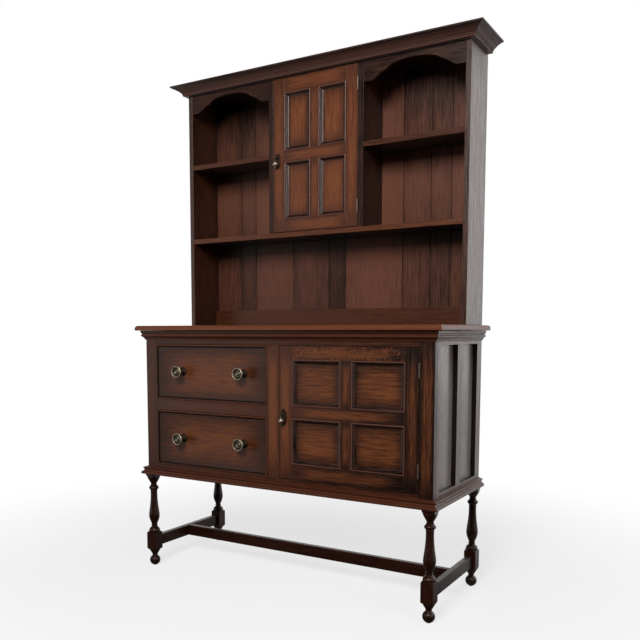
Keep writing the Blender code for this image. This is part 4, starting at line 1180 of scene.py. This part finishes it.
def handle_plate(seat, centre):
    """The oval plate with the steps of its face, the two ears, and the pin between them."""
    plate = bmesh.new()
    bmesh.ops.create_circle(plate, cap_ends=True, segments=64, radius=1.0)
    for point in plate.verts:
        point.co = (point.co.x * PLATE_WIDTH / 2, seat, point.co.y * PLATE_HEIGHT / 2 + centre)
    bmesh.ops.recalc_face_normals(plate, faces=plate.faces[:])
    back = plate.faces[:][0]
    front = [(point.co.x, seat - PLATE_THICK, point.co.z) for point in back.verts]
    face = pulled(plate, back, front)
    bmesh.ops.recalc_face_normals(plate, faces=plate.faces[:])
    for width, rise in PLATE_STEPS:
        bmesh.ops.inset_individual(
            plate, faces=[face], thickness=width, depth=rise, use_even_offset=True
        )
    for sign in (-1, 1):
        moved_into(plate, handle_ear(sign, seat))
    reach = EYE_WIDTH / 2 + EAR_THICK + PIN_PLAY
    moved_into(plate, rod_across(PIN_RADIUS, -reach, reach))
    return plate


def turned_drop():
    """The drop: an eye round the pin, and below it a turned stem, a ball and a nipple."""
    drop = bmesh.new()
    rim = EYE_RADIUS - EYE_EASE
    bore = PIN_RADIUS + PIN_PLAY
    corners = (
        (-0.7, EYE_RADIUS), (0.7, EYE_RADIUS), (1.0, rim), (1.0, bore), (-1.0, bore), (-1.0, rim),
    )
    section = [drop.verts.new((side * EYE_WIDTH / 2, radius, 0.0)) for side, radius in corners]
    ring = [drop.edges.new(pair) for pair in zip(section, section[1:] + section[:1])]
    bmesh.ops.spin(
        drop, geom=section + ring, cent=(0, 0, 0), axis=(1, 0, 0), angle=2 * math.pi, steps=32,
        use_merge=True,
    )
    bmesh.ops.recalc_face_normals(drop, faces=drop.faces[:])
    outline = [point for run in DROP_RUNS for point in flowing(run, 3)]
    for step in range(33):
        turn = math.radians(NECK_ANGLE + (180.0 - 2 * NECK_ANGLE) * step / 32)
        outline.append((BALL_RADIUS * math.sin(turn), BALL_RADIUS * math.cos(turn) - BALL_DEPTH))
    outline += flowing(NIPPLE_RUN, 3)
    moved_into(drop, spun(outline, 48))
    return drop


def make_handle(door):
    swing = next(joint for joint in frame["joints"] if joint["name"] == f"{door}_drop_swing")
    pivot = Vector(swing["pos_m"])
    plate_low, plate_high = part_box(f"{door}_handle_plate")
    seat = plate_high.y - pivot.y
    centre = (plate_low.z + plate_high.z) / 2 - pivot.z
    plate = handle_plate(seat, centre)
    drop = turned_drop()

    def dark_rim(co):
        across = (co.x - pivot.x) / (PLATE_WIDTH / 2)
        up = (co.z - pivot.z - centre) / (PLATE_HEIGHT / 2)
        near_plate = co.y - pivot.y > seat - 0.004
        return min(1.0, 0.70 + 0.3 * math.hypot(across, up) ** 3) if near_plate else 0.45

    def bright_ball(co):
        return 0.7 if co.z > pivot.z - 0.014 else 0.08

    for mesh_data in (plate, drop):
        bmesh.ops.translate(mesh_data, vec=pivot, verts=mesh_data.verts[:])
    brass_piece(
        f"{door}_handle_plate_cast", plate, OLD_BRASS, door, f"{door}_handle_plate",
        dark_rim,
    )
    brass_piece(
        f"{door}_drop_turned", drop, OLD_BRASS, f"{door}_drop_handle", f"{door}_drop",
        bright_ball,
    )


for door in ("lower_door", "upper_door"):
    make_handle(door)


# The plate rack: two plain sides that stand on the worktop, a long shelf across, two uprights of
# the small cupboard, and a short shelf in each bay, all housed together. Front edges are rubbed,
# and the shelves' front edges are also painted paler than the rest, as painted light.

def lengthwise(edge):
    """True for an edge that isn't at the board's end, where it is housed in another."""
    line = edge.verts[1].co - edge.verts[0].co
    return abs(line.x) > 0.9 * line.length


SHELF_EASE = 0.0014
shelf_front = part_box("rack_long_shelf")[0].y


def front_wear_and_light(front_tone, own_tone):
    """The tone of a shelf: its front edge rubbed and painted paler, as painted light, the rest darker."""
    return lambda co: front_tone if co.y < shelf_front + SHELF_EASE / 2 else own_tone


for side in ("left", "right"):
    board_from(f"rack_side_{side}", POLISHED_OAK, "Z", ease=0.0012, tone=0.46)
    board_from(f"rack_divider_{side}", STAINED_OAK, "Z", ease=0.0008, tone=0.3)
    board_from(
        f"rack_short_shelf_{side}", STAINED_OAK, "X", ease=SHELF_EASE, steep=lengthwise,
        tone=front_wear_and_light(0.85, 0.2),
    )
board_from(
    "rack_long_shelf", RUBBED_OAK, "X", ease=SHELF_EASE, steep=lengthwise,
    tone=front_wear_and_light(0.75, -0.1),
)


# The back of the rack: matched oak boards of random widths with a V at each joint, nailed to the
# back of the sides, and a low rail in front of their feet.

OAK_BACKBOARDS = wood_finish(
    "oak_backboards", ((0.009, 0.0030, 0.0020), (0.140, 0.0500, 0.0290), (0.16, 0.060, 0.030)),
    figure=0.30, border_darkening=0.25, fleck=0.04, polish=0.24, bloom=0.04, depth=0.0003, shine=0.18,
)
JOINT_SHARES = (0.108, 0.174, 0.334, 0.476, 0.542, 0.750, 0.845, 0.913)
BOARD_TONES = (0.40, 0.26, 0.58, 0.40, 0.12, 0.74, 0.42, 0.38, 0.50)
# Painted light and shade by height above the floor, as (height, change): painted shadow just under
# the long shelf, painted light in the lower bays, painted shade at the top.
LIGHT_AND_SHADE_BY_HEIGHT = (
    (0.92, 0.05), (1.215, 0.00), (1.256, -0.50), (1.268, 0.14), (1.30, 0.20), (1.42, 0.40),
    (1.54, 0.10), (1.65, 0.05), (1.75, -0.25),
)


def shaded_by_height(own_tone):
    """A board's tone by height, with the painted light and shade of the table above."""
    def tone(co):
        for (low_z, low_change), (high_z, high_change) in zip(LIGHT_AND_SHADE_BY_HEIGHT, LIGHT_AND_SHADE_BY_HEIGHT[1:]):
            if co.z < high_z:
                share = max(0.0, (co.z - low_z) / (high_z - low_z))
                return own_tone + low_change + share * (high_change - low_change)
        return own_tone + LIGHT_AND_SHADE_BY_HEIGHT[-1][1]
    return tone


back_low, back_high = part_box("rack_backboards")
joints = [back_low.x + share * (back_high.x - back_low.x) for share in JOINT_SHARES]
sides = [None, *joints, None]
# The sawn edges are painted black: dark joints, with painted shade in the V between the boards.
for number, own_tone in enumerate(BOARD_TONES):
    cut_from(
        "rack_backboards", (sides[number], None, None), (sides[number + 1], None, None),
        f"backboard_{number + 1}", OAK_BACKBOARDS, "Z", number == 0, slot="oak_backboards",
        ease=0.0004, tone=shaded_by_height(own_tone), black=1.0, heights=[z for z, change in LIGHT_AND_SHADE_BY_HEIGHT[1:]],
    )
board_from("rack_back_rail", STAINED_OAK, "X", ease=0.0012, tone=0.8)


# The valances: a thin oak board under the cornice in each bay, sawn to a flat arch between two
# lobes, and nailed between the side and the upright of the cupboard.

def across_the_face(edge):
    """True for an edge of the front or back face that isn't upright."""
    line = edge.verts[1].co - edge.verts[0].co
    return abs(line.y) < 0.0001 and abs(line.x) > 0.0005


for side in ("left", "right"):
    board_from(f"rack_valance_{side}", STAINED_OAK, "X", ease=0.0007, tone=0.22, steep=across_the_face)


# The top of the rack: a board across the sides, and a cornice with a fillet, a long slope and two
# beads, mitred at the front corners and nailed to the edges of the board and the sides.

board_from("rack_top_board", STAINED_OAK, "X")
DULL_OAK = wood_finish(
    "dull_stained_oak_of_the_cornice",
    ((0.0045, 0.0014, 0.0011), (0.090, 0.0370, 0.0280), (0.20, 0.120, 0.095)),
    figure=0.35, border_darkening=0.35, fleck=0.03, polish=0.30, bloom=0.35, depth=0.00025, shine=0.15,
)
CORNICE_REACH = 0.052
CORNICE_HEIGHT = 0.035
BEADS_TOP = 0.33
SLOPE_TOP = 0.81
CORNICE_RUNS = (
    ((1.00, 1.00), (1.00, 0.84)),
    ((0.86, 0.82), (0.83, 0.78), (0.68, 0.67), (0.55, 0.54), (0.45, 0.40), (0.39, 0.33)),
    ((0.34, 0.32), (0.365, 0.29), (0.372, 0.255), (0.36, 0.22), (0.32, 0.20)),
    ((0.29, 0.19), (0.32, 0.155), (0.333, 0.11), (0.325, 0.06), (0.29, 0.02), (0.27, 0.00)),
)
rack_low, rack_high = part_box("rack_side_right")


def cornice_highlight_and_shade(co):
    """The beads are painted pale as a painted highlight, the long slope is dark, and the fillet above it
    is darker still, as painted shade.
    """
    up = (co.z - rack_high.z) / CORNICE_HEIGHT
    if up < BEADS_TOP:
        return 1.5
    return 0.42 if up < SLOPE_TOP else 0.10


moulding_round(
    "rack_cornice", "cornice", CORNICE_RUNS, DULL_OAK, front=rack_low.y, half_width=rack_high.x,
    back=rack_high.y, bottom=rack_high.z, reach=CORNICE_REACH, height=CORNICE_HEIGHT, tone=cornice_highlight_and_shade,
)


# The studio: a pale floor that keeps the dresser's shadow and fades to white, and soft lamps in
# front, at the right, at the left like a window, and behind. The white surround is dimmer in front.

FLOOR_RADIUS = 9.0


def make_floor():
    """The camera sees it fade to white; polish mirrors it white behind the dresser and at the left."""
    mesh_data = bmesh.new()
    bmesh.ops.create_circle(mesh_data, cap_ends=True, segments=96, radius=FLOOR_RADIUS)
    mesh = bpy.data.meshes.new("studio_floor")
    mesh_data.to_mesh(mesh)
    mesh_data.free()
    floor = bpy.data.objects.new("studio_floor", mesh)
    bpy.context.scene.collection.objects.link(floor)
    material = bpy.data.materials.new("pale_studio_floor")
    material.use_nodes = True
    tree = material.node_tree
    shader = tree.nodes["Principled BSDF"]
    place = put(tree, "TexCoord").outputs["Object"]
    grit = stretched_noise(tree, place, (40.0, 40.0, 40.0), 3.0)
    path = put(tree, "LightPath").outputs
    pale = blended(tree, grit, (0.955, 0.955, 0.95, 1.0), (0.985, 0.985, 0.985, 1.0))
    dark_to_the_lamps = (0.06, 0.058, 0.055, 1.0)
    colour = blended(tree, path["Is Camera Ray"], dark_to_the_lamps, pale)
    tree.links.new(colour, shader.inputs["Base Color"])
    shader.inputs["Roughness"].default_value = 0.9
    shader.inputs["Specular IOR Level"].default_value = 0.0
    distance = put(tree, "VectorMath", {0: place}, operation="LENGTH").outputs["Value"]
    fade = ranged(tree, distance, 0.6, 2.3, 0.72, 1.0)
    spot = put(tree, "SeparateXYZ", {0: place}).outputs
    behind = ranged(tree, spot[1], -0.4, 1.2)
    aside = ranged(tree, spot[0], -0.9, -2.6)
    glossy = sums(tree, "MULTIPLY", path["Is Glossy Ray"], sums(tree, "MAXIMUM", behind, aside))
    seen = sums(tree, "MAXIMUM", path["Is Camera Ray"], glossy)
    seen = sums(tree, "MAXIMUM", seen, path["Is Transmission Ray"])
    white = put(tree, "Emission", {"Color": (1, 1, 1, 1), "Strength": 1.0}).outputs[0]
    share = sums(tree, "MULTIPLY", fade, seen)
    mixed = put(tree, "MixShader", {0: share, 1: shader.outputs[0], 2: white}).outputs[0]
    tree.links.new(mixed, tree.nodes["Material Output"].inputs["Surface"])
    mesh.materials.append(material)


def make_lamp(name, place, target, size, watts):
    light = bpy.data.lights.new(name, "AREA")
    light.shape = "RECTANGLE"
    light.size, light.size_y = size
    light.energy = watts
    lamp = bpy.data.objects.new(name, light)
    bpy.context.scene.collection.objects.link(lamp)
    lamp.location = place
    lamp.rotation_euler = (Vector(target) - Vector(place)).to_track_quat("-Z", "Y").to_euler()


def make_surround():
    """White to the camera; polish mirrors it bright behind, dimmer at the window and dark in front."""
    world = bpy.data.worlds.new("white_surround")
    bpy.context.scene.world = world
    world.use_nodes = True
    tree = world.node_tree
    background = tree.nodes["Background"]
    direction = put(tree, "TexCoord").outputs["Generated"]

    def towards(way, low, high, dim, bright):
        facing = put(tree, "VectorMath", {0: direction, 1: way}, operation="DOT_PRODUCT")
        return ranged(tree, facing.outputs["Value"], low, high, dim, bright)

    behind = towards((0.45, 0.89, 0.0), -0.35, 0.45, 0.05, 1.0)
    window = towards((-0.95, -0.3, 0.0), 0.55, 0.85, 0.0, 0.3)
    mirrored = sums(tree, "MAXIMUM", behind, window)
    path = put(tree, "LightPath").outputs
    seen = sums(tree, "MAXIMUM", path["Is Camera Ray"], path["Is Transmission Ray"])
    diffuse = 0.02
    level = sums(tree, "MULTIPLY", path["Is Glossy Ray"], sums(tree, "SUBTRACT", mirrored, diffuse))
    level = sums(tree, "ADD", level, diffuse)
    level = sums(tree, "MAXIMUM", level, seen)
    tree.links.new(level, background.inputs["Strength"])
    background.inputs["Color"].default_value = (1, 1, 1, 1)


make_floor()
make_surround()
make_lamp("lamp_front", place=(0.8, -3.3, 2.75), target=(0.0, 0.0, 1.1), size=(1.3, 1.3), watts=120.0)
make_lamp("lamp_right", place=(3.2, -1.4, 1.9), target=(0.2, 0.0, 1.1), size=(1.0, 1.6), watts=20.0)
make_lamp("lamp_window", place=(-3.0, -3.2, 1.5), target=(0.0, 0.0, 1.2), size=(2.4, 2.8), watts=22.0)
make_lamp("lamp_behind", place=(2.9, 2.9, 1.7), target=(0.5, 0.0, 1.1), size=(3.0, 2.6), watts=34.0)


# The camera stands where the photograph was taken from: right of the dresser, at the height of
# its worktop, turned left and tipped a little down.

# PHOTO_PIXELS is the picture's width. The rest, in pixels, metres and degrees, was fitted to its
# straight edges, at the scale that puts the worktop at 927 mm.
FOCAL_PIXELS = 750.36
PHOTO_PIXELS = 640
PHOTO_CENTRE = (299.975, 402.589)
CAMERA_ASIDE = 1.4087
CAMERA_AWAY = 2.1339
CAMERA_UP = 0.9054
CAMERA_TIP = 84.5981
CAMERA_TURN = 31.4428
camera_data = bpy.data.cameras.new("photo_camera")
camera_data.sensor_width = 36.0
camera_data.lens = FOCAL_PIXELS / PHOTO_PIXELS * camera_data.sensor_width
camera_data.shift_x = (PHOTO_PIXELS / 2 - PHOTO_CENTRE[0]) / PHOTO_PIXELS
camera_data.shift_y = (PHOTO_CENTRE[1] - PHOTO_PIXELS / 2) / PHOTO_PIXELS
camera = bpy.data.objects.new("photo_camera", camera_data)
bpy.context.scene.collection.objects.link(camera)
camera.location = (CAMERA_ASIDE, FRAME_LOW.y - CAMERA_AWAY, CAMERA_UP)
camera.rotation_euler = (math.radians(CAMERA_TIP), 0.0, math.radians(CAMERA_TURN))
bpy.context.scene.camera = camera
bpy.context.scene.view_settings.view_transform = "Standard"
